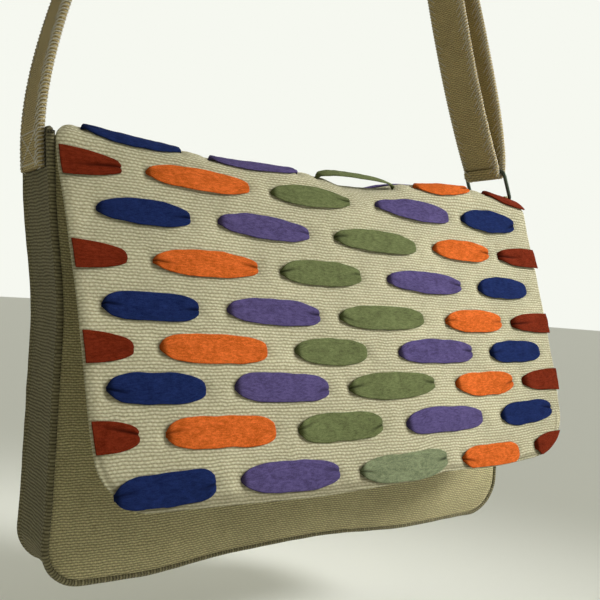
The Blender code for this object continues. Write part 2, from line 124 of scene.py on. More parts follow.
HEM_LINE = (
    Row(-0.50, 0.0), Row(0.08, -0.1), Row(0.16, 0.40), Row(0.28, 0.45), Row(0.42, 1.0),
    Row(0.50, 1.3),
)
# The turned band of the hem hangs a little lower on the left, up to a share of the flap's width
HEM_DROP = 0.0032
HEM_BAND = 0.005
HEM_DROP_END = (-0.14, 0.08)
Edge = namedtuple("Edge", "at left right")
FLAP_EDGES = (
    Edge(0.08, 0.496, 0.507), Edge(0.25, 0.487, 0.508), Edge(0.55, 0.474, 0.504),
    Edge(0.80, 0.467, 0.495), Edge(1.0, 0.458, 0.482),
)
WIDENING = (-0.02, 0.08)
Across = namedtuple("Across", "at roll dip")
GUSSET_SECTION = (
    Across(-0.50, 0.35, 1.0), Across(-0.46, 1.0, 0.6), Across(-0.40, 0.0, 0.2),
    Across(0.0, -0.5, 0.0), Across(0.40, 0.0, 0.0), Across(0.46, 1.0, 0.0), Across(0.50, 0.35, 0.0),
)

# The stitches of a row, as shares of the flap's width and of a stitch's length.
# An edge stitch is caught in the flap's side: -1 in the left one, 1 in the right one.
Stitch = namedtuple("Stitch", "colour centre length edge")
FULL_ROW = (
    Stitch("blue", -0.367, 0.84, 0), Stitch("purple", -0.155, 0.98, 0),
    Stitch("green", 0.069, 1.06, 0), Stitch("orange", 0.296, 0.84, 0),
    Stitch("rust", 0.456, 0.62, 1),
)
SHIFTED_ROW = (
    Stitch("rust", -0.450, 0.42, -1), Stitch("orange", -0.269, 1.02, 0),
    Stitch("green", -0.052, 0.93, 0), Stitch("purple", 0.184, 1.03, 0),
    Stitch("blue", 0.395, 0.77, 0),
)
ROW_PLACES = (-0.100, 0.030, 0.134, 0.2546, 0.3826, 0.5097, 0.616, 0.721, 0.834, 0.960)
FADED_ROW = 9
LOOP_ROW = 1
LOOP_COLOUR = "green"

# How a row's stitches lie, from the fold down: how square their ends are, how wide they are,
# how far the lower edge stands off the linen, and how far they swell
Lie = namedtuple("Lie", "at squareness width lift swell")
LIE = (
    Lie(0, 2.1, 0.94, 0.0004, 0.0004), Lie(1, 2.1, 0.92, 0.0006, 0.0004),
    Lie(2, 2.2, 0.90, 0.0014, 0.0007),
    Lie(4, 2.5, 0.95, 0.0010, 0.0006), Lie(6, 3.0, 0.96, 0.0006, 0.0006),
    Lie(9, 3.8, 0.99, 0.0003, 0.0005),
)

# A strip's least width, as a share, and how it ends in its slit or at the flap's edge
STITCH_PINCH = 0.16
STITCH_TIP = 0.0005
STITCH_DIVE = 0.0024
STITCH_DIVE_REACH = 0.0022
STITCH_LEAST = 0.003
STITCH_MARGIN = 0.0004
LEFT_REACH = 0.005
END_ROUNDNESS = 0.56
EDGE_SQUARENESS = {-1: 2.6, 1: 1.9}
# Share of the suede's thickness that shows above the linen
VISIBLE_SUEDE = 0.75
Spot = namedtuple("Spot", "share at x along out crease")

# What single stitches do apart from their row, by row and column. A tilt lowers the right end
# and raises the left one. A nudge shifts the left end, the right end and the whole stitch.
TILTS = {
    (1, 1): 0.0006, (2, 4): 0.0014, (3, 2): 0.0008, (7, 2): 0.0006, (9, 1): -0.0020,
    (9, 2): -0.0008,
}
Nudge = namedtuple("Nudge", "left right down")
STILL = Nudge(0.0, 0.0, 0.0)
NUDGES = {
    (1, 1): Nudge(-0.005, 0.0, 0.0), (1, 3): Nudge(0.0, -0.004, 0.0),
    (1, 4): Nudge(-0.006, -0.006, 0.0005), (2, 4): Nudge(0.0, 0.0, -0.0012),
    (2, 5): Nudge(-0.005, 0.0, 0.0), (3, 3): Nudge(0.004, 0.004, 0.0012),
    (6, 3): Nudge(0.004, -0.0035, 0.0), (8, 4): Nudge(-0.003, -0.001, 0.0),
    (9, 1): Nudge(0.001, 0.0005, 0.0012), (9, 2): Nudge(-0.002, 0.0, -0.0008),
    (9, 4): Nudge(-0.006, -0.006, 0.001),
}

# How far each stitch may differ from its row by chance
STITCH_TILT = 0.0007
STITCH_BOW = 0.0006
END_CHANGE = (0.8, 1.35)

# The small folds that the suede has at its ends: their sizes, how they are drawn by chance,
# and the shares of painted shade that they and the slit put on the hide
DART_REACH = 0.010
DART_WIDTH = 0.0008
DART_DEPTH = 0.0006
DART_SWELL = 0.0004
SWELL_AWAY = 0.003
SWELL_WIDTH = 0.002
DART_TURN = 0.25
DART_SLANT = 0.4
DART_DEEPNESS = (0.15, 0.3, 0.8, 1.1)
DART_SHADE = 0.9
SLIT_SHADE = 0.4
SLIT_SHADE_REACH = 0.003

# Soft lumps that no cloth or hide is without: height and size. The strap's thick spots are
# shares of its thickness, and a strip's lumps are drawn over these half widths.
Lump = namedtuple("Lump", "height size")
SUEDE_EDGE_TURN = 0.004
SUEDE_LUMP_TURN = 0.008
FLAP_LUMPS = (Lump(0.0006, 0.030), Lump(0.00025, 0.009))
PANEL_LUMPS = (Lump(0.0010, 0.055), Lump(0.0004, 0.018))
GUSSET_LUMPS = (Lump(0.0003, 0.012),)
SUEDE_LUMPS = (Lump(0.00018, 0.004),)
SUEDE_EDGE_LUMPS = (Lump(0.0006, 0.010),)
STRAP_LUMPS = (Lump(0.0003, 0.02),)
STRAP_THICK_SPOTS = (Lump(0.06, 0.01),)

# The linen round a slit is drawn in, and the flap's edge is turned over
PUCKER_DEPTH = 0.0013
PUCKER_SIZE = (0.0035, 0.006)
PUCKER_REACH = (0.012, 0.018)
TURNED_DEPTH = 0.0009
TURNED_WIDTH = 0.0035

# Painted shade in the flap's slits, in the line of its hem, and on the band below that line
SLIT_SIZE = (0.0018, 0.0035)
SLIT_REACH = (0.006, 0.009)
SLIT_PAINTED_SHADE = 0.5
HEM_LINE_START = (0.0006, 0.0012)
HEM_LINE_END = (0.0028, 0.0036)
HEM_LINE_PAINTED_SHADE = 0.15
HEM_LINE_PAINTED_SHADE_LOW = 0.35
HEM_LINE_LOW = (0.75, 0.9)
HEM_BAND_PAINTED_SHADE = 0.45

# Painted shade on the strip between the panels, as shares of their colours: threads, then gaps
GUSSET_PAINTED_SHADE_THREADS = 0.45
GUSSET_PAINTED_SHADE_GAPS = 0.4

# The panels have no lumps near their foot, and the seam's ridge sinks under the bag's left
PANEL_STILL_FOOT = 0.03
RIDGE_LOSS = 0.7
RIDGE_END = (-0.16, -0.08)
RIDGE_TURN = (0.5, 1.0)

# How full the folded strap is over its flat, and the groove beside its edge
BAND_FULLNESS = 1.06
GROOVE_DEPTH = 0.14
GROOVE_PLACE = 0.0022
GROOVE_WIDTH = 0.0008

# Sewing thread: the strap's oversewn edges, then the running stitches of the seams
EDGE_THREAD = 0.00038
EDGE_PITCH = 0.0022
EDGE_SLANT = 0.0016
EDGE_RISE = 0.00012
EDGE_OUT = 0.0001
EDGE_SHOULDER = (0.3, 0.72)
SHORT_REACH = (0.0022, 0.0034)
LONG_REACH = (0.0045, 0.0085)
SEAM_THREAD = 0.0004
SEAM_SHARE = 0.72
# Height of a seam's dash along it, in its own thicknesses
DASH_LINE = ((0.0, -0.6), (0.2, 0.6), (0.5, 0.9), (0.8, 0.6), (1.0, -0.6))
BAND_SEAM_PITCH = 0.0035
BAND_SEAM_INSET = 0.002
BAND_SEAM_END = 0.004
BOX_SEAM_PITCH = 0.003
BOX_SEAM_INSET = 0.0035
BOX_SEAM_TOP = 0.003
BOX_SEAM_FOOT = 0.0025
TAB_LEG_START = 0.002

# How high a thread still stands where it dips under another, and how round it is
WEFT_DIP = 0.64
WARP_DIP = 0.1
THREAD_ROUNDNESS = 0.75

# Linen: short fibres on the threads, uneven bleaching, and the painted shade of a fold or slit
FLUFF = 0.25
WASH = (0.90, 1.06)
LINEN_PAINTED_SHADE = 0.6

# Suede: how much the wavy hide, the combed nap and its grit show, the range of the three
# together, and the shares of the colour in its dark, its light and the painted shade of its folds
HIDE_SHARE = 0.4
NAP_SHARE = 0.9
GRIT_SHARE = 0.7
NAP_RANGE = (0.76, 1.24)
NAP_DARK = 0.58
NAP_LIGHT = 1.32
NAP_BLOOM = 0.04
SUEDE_PAINTED_SHADE = 0.18

# Values between which most of a noise lies, the metal's roughness where the wear is least and
# most, and how dark its worn spots and the thread's turns are
NOISE_RANGE = (0.3, 0.7)
METAL_ROUGHNESS = (0.28, 0.46)
METAL_DARK = 0.7
TWIST_DARK = 0.6

# Sizes of the patterns in the materials. The suede's nap and the thread's twist are finer than
# the render can show, so they are drawn this coarse.
SLUB_LENGTH = 7.14 * MM
WASH_SIZE = 35.7 * MM
HIDE_WAVE = 9.09 * MM
NAP_LENGTH = 2.86 * MM
NAP_WIDTH = 1.11 * MM
NAP_GRIT = 0.455 * MM
NAP_RELIEF = 0.25 * MM
WORN_SPOT = 2.63 * MM
THREAD_TWIST = 0.667 * MM

# Shares of the height between the ring and the slider, or the body and the crown
LEFT_HANDLE = 0.26
INNER_HANDLE = 0.36
OUTER_TOP_HANDLE = 0.33
OUTER_LOW_HANDLE = 0.18
INNER_LEAN = radians(27.5)

# How finely the pieces are meshed: a sheet's rims bulge by a share of its thickness, and a
# thread's ends are narrower than its middle
RIM_BULGE = 0.3
THREAD_SIDES = 6
THREAD_TIP = 0.45
BAND_NEAR = (0.0008, 0.002)
BAND_ROWS = 6
TOP_NEAR = (0.0012, 0.0015)
TOP_ROWS = 24
FOLD_ROWS = 9
FLAP_ROWS = 84
FLAP_COLUMNS = 150
PANEL_ROWS = 50
PANEL_COLUMNS = 90
GUSSET_ROWS = 56
GUSSET_COLUMNS = 29
BOTTOM_ROWS = 76
CORNER_STEPS = 12
STITCH_ROWS = 17
STITCH_COLUMNS = 35
WIRE_SIDES = 18

# The camera stands to the left of the bag's middle
CAMERA_PLACE = (-0.3048, -0.4481, -0.5329)
CAMERA_YAW = radians(34.065)
CAMERA_PITCH = radians(-0.015)
CAMERA_ROLL = radians(3.5)

# The lights: where they stand and aim, from the body's middle, and how wide their beams are
Lamp = namedtuple("Lamp", "name place aim beam")
KEY_LAMP = Lamp("key light", (0.85, -0.66, 0.62), (0.11, 0.0, 0.04), radians(29))
FILL_LAMP = Lamp("fill light", (0.3, -1.3, 0.1), (0.0, 0.0, 0.0), radians(100))
LAMP_SIZE = 0.5
BODY_MIDDLE = 0.12

# The floor: how far it reaches, how many patches it has, and how dim they are
FLOOR_REACH = 12.0
FLOOR_PATCHES = 3.0
FLOOR_DIM = 0.97

# Where the room is bright, and how far round from there it turns dim
BRIGHT_WAY = (0.97, 0.24, 0.0)
BRIGHT_EDGE = (-0.1, 0.42)


def linear(text):
    """Linear colour of an sRGB hex value."""
    shares = [int(text[i:i + 2], 16) / 255 for i in (0, 2, 4)]
    return tuple(c / 12.92 if c <= 0.04045 else ((c + 0.055) / 1.055) ** 2.4 for c in shares)


def length(name, default, about):
    """Length in metres that a user can set."""
    return bpy.props.FloatProperty(
        name=name, description=about, default=default, min=0.0, unit="LENGTH", precision=4
    )


def colour(name, text, about):
    """Colour that a user can set."""
    return bpy.props.FloatVectorProperty(
        name=name, description=about, default=linear(text), min=0.0, max=1.0, subtype="COLOR"
    )


class BagSizes(bpy.types.PropertyGroup):
    """Sizes of the bag's pieces."""
    body_width: length("Body width", 0.344, "Width of the body between its seams")
    body_height: length("Body height", 0.239, "Height of the body")
    body_depth: length("Body depth", 0.052, "Depth of the body")
    wall: length("Cloth wall", 0.0022, "Thickness of the doubled linen")
    flap_width: length("Flap width", 0.363, "Greatest width of the flap")
    flap_length: length("Flap length", 0.207, "Cloth from the top of the fold to the hem")
    flap_ripple: length("Flap ripple", 0.0012, "Height of the flap's long waves")
    flap_lean: bpy.props.FloatProperty(
        name="Flap lean", description="Lean of the flap away from the body",
        default=radians(18.5), min=0.0, max=pi / 2, subtype="ANGLE",
    )
    strap_width: length("Strap width", 0.035, "Width of the strap")
    strap_thickness: length("Strap thickness", 0.0038, "Thickness of the folded strap")
    strap_rise: length("Strap rise", 0.451, "Height of the strap's crown above the body")
    slider_rise: length("Slider rise", 0.301, "Height of the slider above the body")
    ring_wire: length("Ring wire", 0.0028, "Thickness of the ring's wire")
    ring_height: length("Ring height", 0.0236, "Distance between the ring's bars")
    stitch_length: length("Stitch length", 0.065, "Length of a suede stitch")
    stitch_height: length("Stitch height", 0.0166, "Width of the suede strip")
    suede: length("Suede thickness", 0.0013, "Thickness of the suede")


class BagCloth(bpy.types.PropertyGroup):
    """Colours, and the distances between threads."""
    flap_light: colour("Flap threads", "D0CBAC", "Light threads of the flap's linen")
    flap_dark: colour("Flap gaps", "857D5A", "Gaps between the flap's threads")
    body_light: colour("Body threads", "D2C898", "Light threads of the body's linen")
    body_dark: colour("Body gaps", "40371A", "Gaps between the body's threads")
    strap_light: colour("Strap threads", "D2BE88", "Light threads of the strap")
    strap_dark: colour("Strap gaps", "6A5A33", "Gaps between the strap's threads")
    blue: colour("Blue suede", "162553", "Blue stitches")
    purple: colour("Purple suede", "504671", "Purple stitches")
    green: colour("Green suede", "636B44", "Green stitches")
    pale_green: colour("Pale green suede", "767F60", "Faded green stitch of the last row")
    orange: colour("Orange suede", "C75C15", "Orange stitches")
    rust: colour("Rust suede", "6C2208", "Rust stitches")
    metal: colour("Metal", "5A6458", "Ring and slider")
    thread: colour("Thread", "DED8C6", "Sewing thread")
    flap_thread: length("Flap thread", 0.0014, "Distance between the flap's threads")
    body_thread: length("Body thread", 0.0013, "Distance between the body's threads")
    strap_thread: length("Strap thread", 0.0015, "Distance between the strap's threads")


class BagStage(bpy.types.PropertyGroup):
    """Floor, lights and camera."""
    floor_gap: length("Floor gap", 0.062, "Height of the bag above the floor")
    key_power: bpy.props.FloatProperty(
        name="Key light", description="Power of the large light on the right", default=0.8,
        min=0.0, unit="POWER",
    )
    fill_power: bpy.props.FloatProperty(
        name="Fill light", description="Power of the light in front", default=0.25, min=0.0,
        unit="POWER",
    )
    sky: bpy.props.FloatProperty(
        name="Sky", description="Strength of the pale surroundings", default=1.0, min=0.0
    )
    shade: bpy.props.FloatProperty(
        name="Shade", description="Share of that strength on the dim left side", default=0.30,
        min=0.0, max=1.0, subtype="FACTOR",
    )
    lens: bpy.props.FloatProperty(
        name="Lens", description="Focal length in millimetres on a 36 mm sensor", default=48.0,
        min=1.0,
    )
    pale: colour("Surroundings", "F6F8F0", "Colour of the light room")
    dim: colour("Dim side", "ECE8D6", "Colour of the room's dim side")
    floor: colour("Floor", "EFF0E8", "Colour of the floor")


@lru_cache(maxsize=None)
def curve(table, column):
    """Places, values and slopes of a table's column, for a line that never overshoots."""
    places = [row[0] for row in table]
    values = [getattr(row, column) for row in table]
    last = len(table) - 1
    steps = [(values[i + 1] - values[i]) / (places[i + 1] - places[i]) for i in range(last)]
    slopes = [0.0] * len(table)
    for i in range(1, last):
        before, after = steps[i - 1], steps[i]
        if before * after > 0:
            slopes[i] = 2 * before * after / (before + after)
    return places, values, slopes


def read(table, at, column="out"):
    """Value of a table's column at a place."""
    places, values, slopes = curve(table, column)
    if at <= places[0]:
        return values[0]
    if at >= places[-1]:
        return values[-1]
    i = bisect_right(places, at) - 1
    width = places[i + 1] - places[i]
    t = (at - places[i]) / width
    return (
        (1 + 2 * t) * (1 - t) ** 2 * values[i] + t * (1 - t) ** 2 * width * slopes[i]
        + t * t * (3 - 2 * t) * values[i + 1] + t * t * (t - 1) * width * slopes[i + 1]
    )


def ease(value, start, end):
    """0 before the start and 1 after the end, with a smooth way between them."""
    share = min(max((value - start) / (end - start), 0.0), 1.0)
    return share * share * (3 - 2 * share)


def spread(low, high, count):
    """Evenly spaced values, both ends included."""
    return [low + (high - low) * i / (count - 1) for i in range(count)]


def hemmed(low, high, count, near=(0.0006, 0.0014, 0.0026)):
    """Values from low to high that lie closer together near both ends."""
    inner = spread(low + near[-1], high - near[-1], count)
    return [low] + [low + d for d in near[:-1]] + inner + [high - d for d in near[-2::-1]] + [high]


def leaning(angle):
    """Unit vector up, leaning to the bag's middle from its right side."""
    return Vector((-sin(angle), 0.0, cos(angle)))


def bezier(start, start_handle, end_handle, end, count):
    """Points of a curve, its first one left out."""
    points = []
    for i in range(1, count + 1):
        t = i / count
        s = 1 - t
        points.append(
            start * s ** 3 + start_handle * 3 * s * s * t + end_handle * 3 * s * t * t + end * t ** 3
        )
    return points


def arc(centre, radius, start, end, count):
    """Points on a circle in the XZ plane, both ends included."""
    return [centre + radius * Vector((cos(a), 0.0, sin(a))) for a in spread(start, end, count)]


def lumpy(lumps, x, y, seed=0.0):
    """Height of soft lumps at a place of a flat piece."""
    return sum(
        lump.height * noise.noise(Vector((x / lump.size, y / lump.size, seed))) for lump in lumps
    )


def hand(x):
    """Side of the bag that a place across it, or its sign, is on."""
    return "left" if x < 0 else "right"


def lengths_along(line):
    """Distances along a line to each of its points."""
    lengths = [0.0]
    for a, b in zip(line, line[1:]):
        lengths.append(lengths[-1] + (b - a).length)
    return lengths


def stretch_at(lengths, at):
    """Stretch of a line that holds a distance along it, and the share of it before that."""
    i = min(max(bisect_right(lengths, at) - 1, 0), len(lengths) - 2)
    return i, (at - lengths[i]) / max(lengths[i + 1] - lengths[i], 1e-9)


def outward(route, i):
    """Direction out from a band that follows a route in the XZ plane."""
    ahead = (route[min(i + 1, len(route) - 1)] - route[max(i - 1, 0)]).normalized()
    return Vector((ahead.z, 0.0, -ahead.x))


def band_section(half_width, half_thickness):
    """Outline of a folded band: along Y, out from its middle, and round the band."""
    flat_half = half_width - half_thickness
    places = []
    for side in (1, -1):
        for y in spread(-side * flat_half, side * flat_half, 13)[:-1]:
            groove = exp(-((abs(y) - flat_half + GROOVE_PLACE) / GROOVE_WIDTH) ** 2)
            places.append((y, side * half_thickness * (BAND_FULLNESS - GROOVE_DEPTH * groove)))
        for angle in spread(0.0, pi, 8)[:-1]:
            places.append((
                side * (flat_half + half_thickness * sin(angle)),
                side * half_thickness * BAND_FULLNESS * cos(angle),
            ))
    rounds = lengths_along([Vector(place) for place in places])
    return [(y, n, around) for (y, n), around in zip(places, rounds)]


def rounded_box(half_a, half_b, corner, steps):
    """Points round a rectangle and their outward directions, in two coordinates."""
    places = []
    for k, (sign_a, sign_b) in enumerate(((1, 1), (-1, 1), (-1, -1), (1, -1))):
        for angle in spread(k * pi / 2, (k + 1) * pi / 2, steps):
            places.append((
                sign_a * (half_a - corner) + corner * cos(angle),
                sign_b * (half_b - corner) + corner * sin(angle), cos(angle), sin(angle),
            ))
    return places


def opaque(colour, share=1.0):
    """A share of a colour, with full alpha."""
    return tuple(share * c for c in colour) + (1.0,)


class Shape:
    """Surfaces of the bag, worked out from the sizes in the panel."""

    def __init__(self, size):
        for name in BagSizes.__annotations__:
            setattr(self, name, getattr(size, name))
        self.body_top = -self.strap_rise
        self.flap_top = self.body_top + SEAM_GAP + self.wall
        self.turn = pi / 2 - self.flap_lean
        self.arc = FOLD_RADIUS * self.turn
        self.front = -self.body_depth / 2 - FLAP_STAND + FOLD_RADIUS
        self.back = self.body_depth / 2 - PANEL_RECESS + SEAM_GAP + self.wall - BACK_FOLD_RADIUS
        self.flap_start = self.front - self.back - BACK_FOLD_RADIUS * pi / 2 - BACK_BAND

    def sag(self, x):
        """How far the fold and the body's top edges stand above or below their level."""
        return FOLD_SAG * read(SAG_LINE, x / self.flap_width)

    def settle(self, x, down):
        """Place on the XZ plane of a point of the body's flat pattern."""
        share = down / self.body_height
        flare = SIDE_FLARE * read(SIDE_LINE, share, hand(x))
        side = x * (1 + 2 * flare / self.body_width)
        lift = BOTTOM_WAVE * read(BOTTOM_LINE, x / self.body_width) * share ** 4
        return side, self.body_top - down + self.sag(side) * (1 - share) ** 3 + lift

    def side_path(self, side, inset, rows):
        """A side's line from the top to the end of its corner: half width, depth, outward way."""
        corner = BODY_CORNER[side]
        straight = self.body_height - corner
        half = self.body_width / 2
        path = [(half - inset, down, 1.0, 0.0) for down in spread(0.0, straight, rows)]
        for i in range(1, CORNER_STEPS + 1):
            a = pi / 2 * i / CORNER_STEPS
            reach = (corner - inset) * cos(a)
            path.append((half - corner + reach, straight + (corner - inset) * sin(a), cos(a), sin(a)))
        return path

    def gusset_path(self):
        """The gusset's line down the left, under the bag and up the right."""
        left_side = self.side_path("left", 0.0, GUSSET_ROWS)
        left = [(-x, down, -out_x, out_down) for x, down, out_x, out_down in left_side]
        right = self.side_path("right", 0.0, GUSSET_ROWS)
        columns = spread(left[-1][0], right[-1][0], BOTTOM_ROWS)[1:-1]
        return left + [(x, self.body_height, 0.0, 1.0) for x in columns] + right[::-1]

    def flap_profile(self, along):
        """Y and Z of the flap's outer face, along the cloth from its top."""
        top_run = self.back - self.front
        if along > 0:
            turn = min(along / FOLD_RADIUS, self.turn)
            y = self.front - FOLD_RADIUS * sin(turn)
            z = self.flap_top - FOLD_RADIUS * (1 - cos(turn))
            rest = max(0.0, along - self.arc)
            return y - rest * sin(self.flap_lean), z - rest * cos(self.flap_lean)
        if along > -top_run:
            return self.front - along, self.flap_top
        turn = min((-along - top_run) / BACK_FOLD_RADIUS, pi / 2)
        y = self.back + BACK_FOLD_RADIUS * sin(turn)
        z = self.flap_top - BACK_FOLD_RADIUS * (1 - cos(turn))
        return y, z - max(0.0, -along - top_run - BACK_FOLD_RADIUS * pi / 2)

    def flap_skin(self, across, along):
        """Point of the flap's outer face."""
        share = along / self.flap_length
        hem = HEM_RISE * read(HEM_LINE, across / self.flap_width) * max(0.0, share) ** 3
        y, z = self.flap_profile(along - hem)
        z += self.sag(across) * (1 - ease(along / self.arc, *SAG_FADE))
        ripple = self.flap_ripple * sin(tau * across / RIPPLE_LENGTH) * max(0.0, share)
        return Vector((across, y - ripple * cos(self.flap_lean), z + ripple * sin(self.flap_lean)))

    def flap_point(self, across, along, out):
        """Point at a distance out from the flap's outer face, which is never quite even."""
        step = 0.0005
        right = self.flap_skin(across + step, along) - self.flap_skin(across - step, along)
        down = self.flap_skin(across, along + step) - self.flap_skin(across, along - step)
        out += lumpy(FLAP_LUMPS, across, along)
        return self.flap_skin(across, along) + out * down.cross(right).normalized()

    def hem_end(self, x):
        """Distance from the middle to the hem's end on a place's side, and the corner's radius."""
        return self.flap_width * read(FLAP_EDGES, 1.0, hand(x)), FLAP_CORNER[hand(x)]

    def flap_edge(self, along, side):
        """Distance from the middle to the flap's left (-1) or right (1) edge."""
        corner = FLAP_CORNER[hand(side)]
        share = along / self.flap_length
        wide = ease(share, *WIDENING)
        half = self.flap_width * read(FLAP_EDGES, share, hand(side))
        half = half * wide + (self.body_width / 2 - TOP_INSET) * (1 - wide)
        past = along - (self.flap_length - corner)
        if past > 0:
            half -= corner - max(corner ** 2 - past ** 2, 0.0) ** 0.5
        return half

    def flap_foot(self, x):
        """Distance down the cloth to its lower edge, round its corners."""
        half, corner = self.hem_end(x)
        past = min(max(abs(x) - (half - corner), 0.0), corner)
        return self.flap_length - corner + (corner ** 2 - past ** 2) ** 0.5

    def flap_margin(self, x, along):
        """Distance from a point of the flap to its nearest free edge."""
        half, corner = self.hem_end(x)
        past_x = abs(x) - (half - corner)
        past = along - (self.flap_length - corner)
        if past_x > 0 and past > 0:
            return corner - hypot(past_x, past)
        return min(self.flap_edge(along, x) - abs(x), self.flap_length - along)

    def hem_drop(self, x, along):
        """How far the band of the hem hangs below the stitches, on the left of the flap."""
        low = ease(along, self.flap_length - HEM_BAND, self.flap_length)
        return HEM_DROP * low * (1 - ease(x / self.flap_width, *HEM_DROP_END))

    def stitch_reach(self, row, column, place):
        """Places across the flap of a stitch's left and right end."""
        nudge = NUDGES.get((row, column + 1), STILL)
        centre, half = self.flap_width * place.centre, place.length * self.stitch_length / 2
        return centre - half + nudge.left, centre + half + nudge.right

    def stitch_ends(self):
        """Places on the flap where a stitch goes through the linen."""
        ends = []
        for row, row_place in enumerate(ROW_PLACES):
            for column, place in enumerate(FULL_ROW if row % 2 else SHIFTED_ROW):
                for side, x in zip((-1, 1), self.stitch_reach(row, column, place)):
                    if place.edge != side:
                        ends.append((x, self.flap_length * row_place))
        return ends

    def ring_foot(self):
        """Middle of the ring's lower bar, above the gusset's right top edge."""
        x, z = self.settle(self.body_width / 2 - self.wall / 2, 0.0)
        return Vector((x, 0.0, z + RING_FOOT + self.ring_wire / 2))

    def ring_head(self):
        """Middle of the ring's upper bar, which the strap goes round."""
        return self.ring_foot() + self.ring_height * leaning(RING_LEAN)

    def slider_frame(self):
        """Middle of the slider, and the strap's direction up through it."""
        head = self.ring_head()
        crown = Vector((CROWN_RADIUS, 0.0, -CROWN_RADIUS))
        up = (crown - head).normalized()
        return head + up * (self.slider_rise - (head.z - self.body_top)) / up.z, up

    def strap_route(self):
        """The strap's middle line: left seam, crown, slider, round the ring and back up."""
        half = self.strap_thickness / 2
        middle, up = self.slider_frame()
        apart = Vector((up.z, 0.0, -up.x)) * (half + SEAM_GAP / 2)
        head = self.ring_head()
        loop = self.ring_wire / 2 + SEAM_GAP + half
        lean = asin(-up.x)
        crown = Vector((0.0, 0.0, -CROWN_RADIUS))
        route = []
        for down in spread(STRAP_SEAM, 0.0, 7):
            x, z = self.settle(-self.body_width / 2, down)
            route.append(Vector((x - SEAM_GAP - half, 0.0, z)))
        over = arc(crown, CROWN_RADIUS + half, pi - lean, lean, 28)
        rise = LEFT_HANDLE * self.strap_rise
        route += bezier(
            route[-1], route[-1] + Vector((0, 0, rise)),
            over[0] - rise * Vector((sin(lean), 0, cos(lean))), over[0], 110,
        )
        route += over[1:]
        high = middle + apart + up * SLIDER_HEIGHT
        low = middle + apart - up * SLIDER_HEIGHT
        route += [route[-1].lerp(high, i / 34) for i in range(1, 35)]
        route += [middle + apart, low]
        run = self.slider_rise - (head.z - self.body_top)
        turn = arc(head, loop, 0.0, -pi - INNER_LEAN, 24)
        route += bezier(
            low, low - up * run * OUTER_TOP_HANDLE,
            turn[0] + Vector((0, 0, run * OUTER_LOW_HANDLE)), turn[0], 70,
        )
        route += turn[1:]
        inner_low = middle - apart - up * SLIDER_HEIGHT
        route += bezier(
            route[-1], route[-1] + leaning(INNER_LEAN) * run * INNER_HANDLE,
            inner_low - up * run * OUTER_TOP_HANDLE, inner_low, 70,
        )
        return route + [middle - apart] + [
            middle - apart + up * STRAP_TAIL * share for share in spread(0.2, 1.0, 6)
        ]


def add(tree, kind, *inputs, **settings):
    """Node with its settings; inputs are values or nodes, in order or in a dict by name."""
    made = tree.nodes.new(kind)
    for name, value in settings.items():
        setattr(made, name, value)
    live = [socket for socket in made.inputs if socket.enabled]
    if inputs and isinstance(inputs[0], dict):
        pairs = [(next(s for s in live if s.name == name), v) for name, v in inputs[0].items()]
    else:
        pairs = list(zip(live, inputs))
    for socket, value in pairs:
        if isinstance(value, bpy.types.Node):
            value = next(s for s in value.outputs if s.enabled)
        if isinstance(value, bpy.types.NodeSocket):
            tree.links.new(value, socket)
        elif value is not None:
            socket.default_value = value
    return made


def blank(name):
    """Empty material's node tree, and the material."""
    made = bpy.data.materials.new(name)
    made.use_nodes = True
    made.node_tree.nodes.clear()
    return made, made.node_tree


def woven(tree, warp, weft, period, warp_share):
    """Height of woven threads from 0 to 1, and the flat coordinates, from the cloth attribute.

    A thread goes over and under in a cycle of as many threads as the period: 2 is a plain
    weave and 3 a twill.
    """
    flat = add(tree, "ShaderNodeAttribute", attribute_name="cloth")
    wander = add(tree, "ShaderNodeTexNoise", {
        "Vector": flat.outputs["Vector"], "Scale": 1 / (4 * weft), "Detail": 1.0,
    })
    drift = add(
        tree, "ShaderNodeVectorMath", wander.outputs["Color"], (0.5, 0.5, 0.5), operation="SUBTRACT"
    )
    shift = add(
        tree, "ShaderNodeVectorMath", drift, (2.0 * warp, weft, 0.0), operation="MULTIPLY"
    )
    bent = add(tree, "ShaderNodeVectorMath", flat.outputs["Vector"], shift, operation="ADD")
    threads = add(
        tree, "ShaderNodeVectorMath", bent, (1 / warp, 1 / weft, 1.0), operation="MULTIPLY"
    )
    axes = add(tree, "ShaderNodeSeparateXYZ", threads)
    u, v = axes.outputs["X"], axes.outputs["Y"]
    heights = []
    # Weft, then warp: own axis, the other one, half of the wave's sign, and the heights
    for mine, other, sign, share, least in (
        (v, u, 0.5, 1.0, WEFT_DIP), (u, v, -0.5, warp_share, WARP_DIP),
    ):
        whole = add(tree, "ShaderNodeMath", mine, operation="FLOOR")
        part = add(tree, "ShaderNodeMath", mine, operation="FRACT")
        turn = add(tree, "ShaderNodeMath", part, pi, operation="MULTIPLY")
        across = add(tree, "ShaderNodeMath", turn, operation="SINE")
        round_thread = add(tree, "ShaderNodeMath", across, THREAD_ROUNDNESS, operation="POWER")
        cycle = add(tree, "ShaderNodeMath", other, whole, operation="ADD")
        middle = add(tree, "ShaderNodeMath", cycle, 0.5, operation="SUBTRACT")
        angle = add(tree, "ShaderNodeMath", middle, tau / period, operation="MULTIPLY")
        wave = add(tree, "ShaderNodeMath", angle, operation="COSINE")
        over = add(
            tree, "ShaderNodeMath", wave, sign * (1 - least), (1 + least) / 2, operation="MULTIPLY_ADD"
        )
        height = add(tree, "ShaderNodeMath", over, round_thread, operation="MULTIPLY")
        heights.append(add(tree, "ShaderNodeMath", height, share, operation="MULTIPLY"))
    return add(tree, "ShaderNodeMath", *heights, operation="MAXIMUM"), flat.outputs["Vector"]


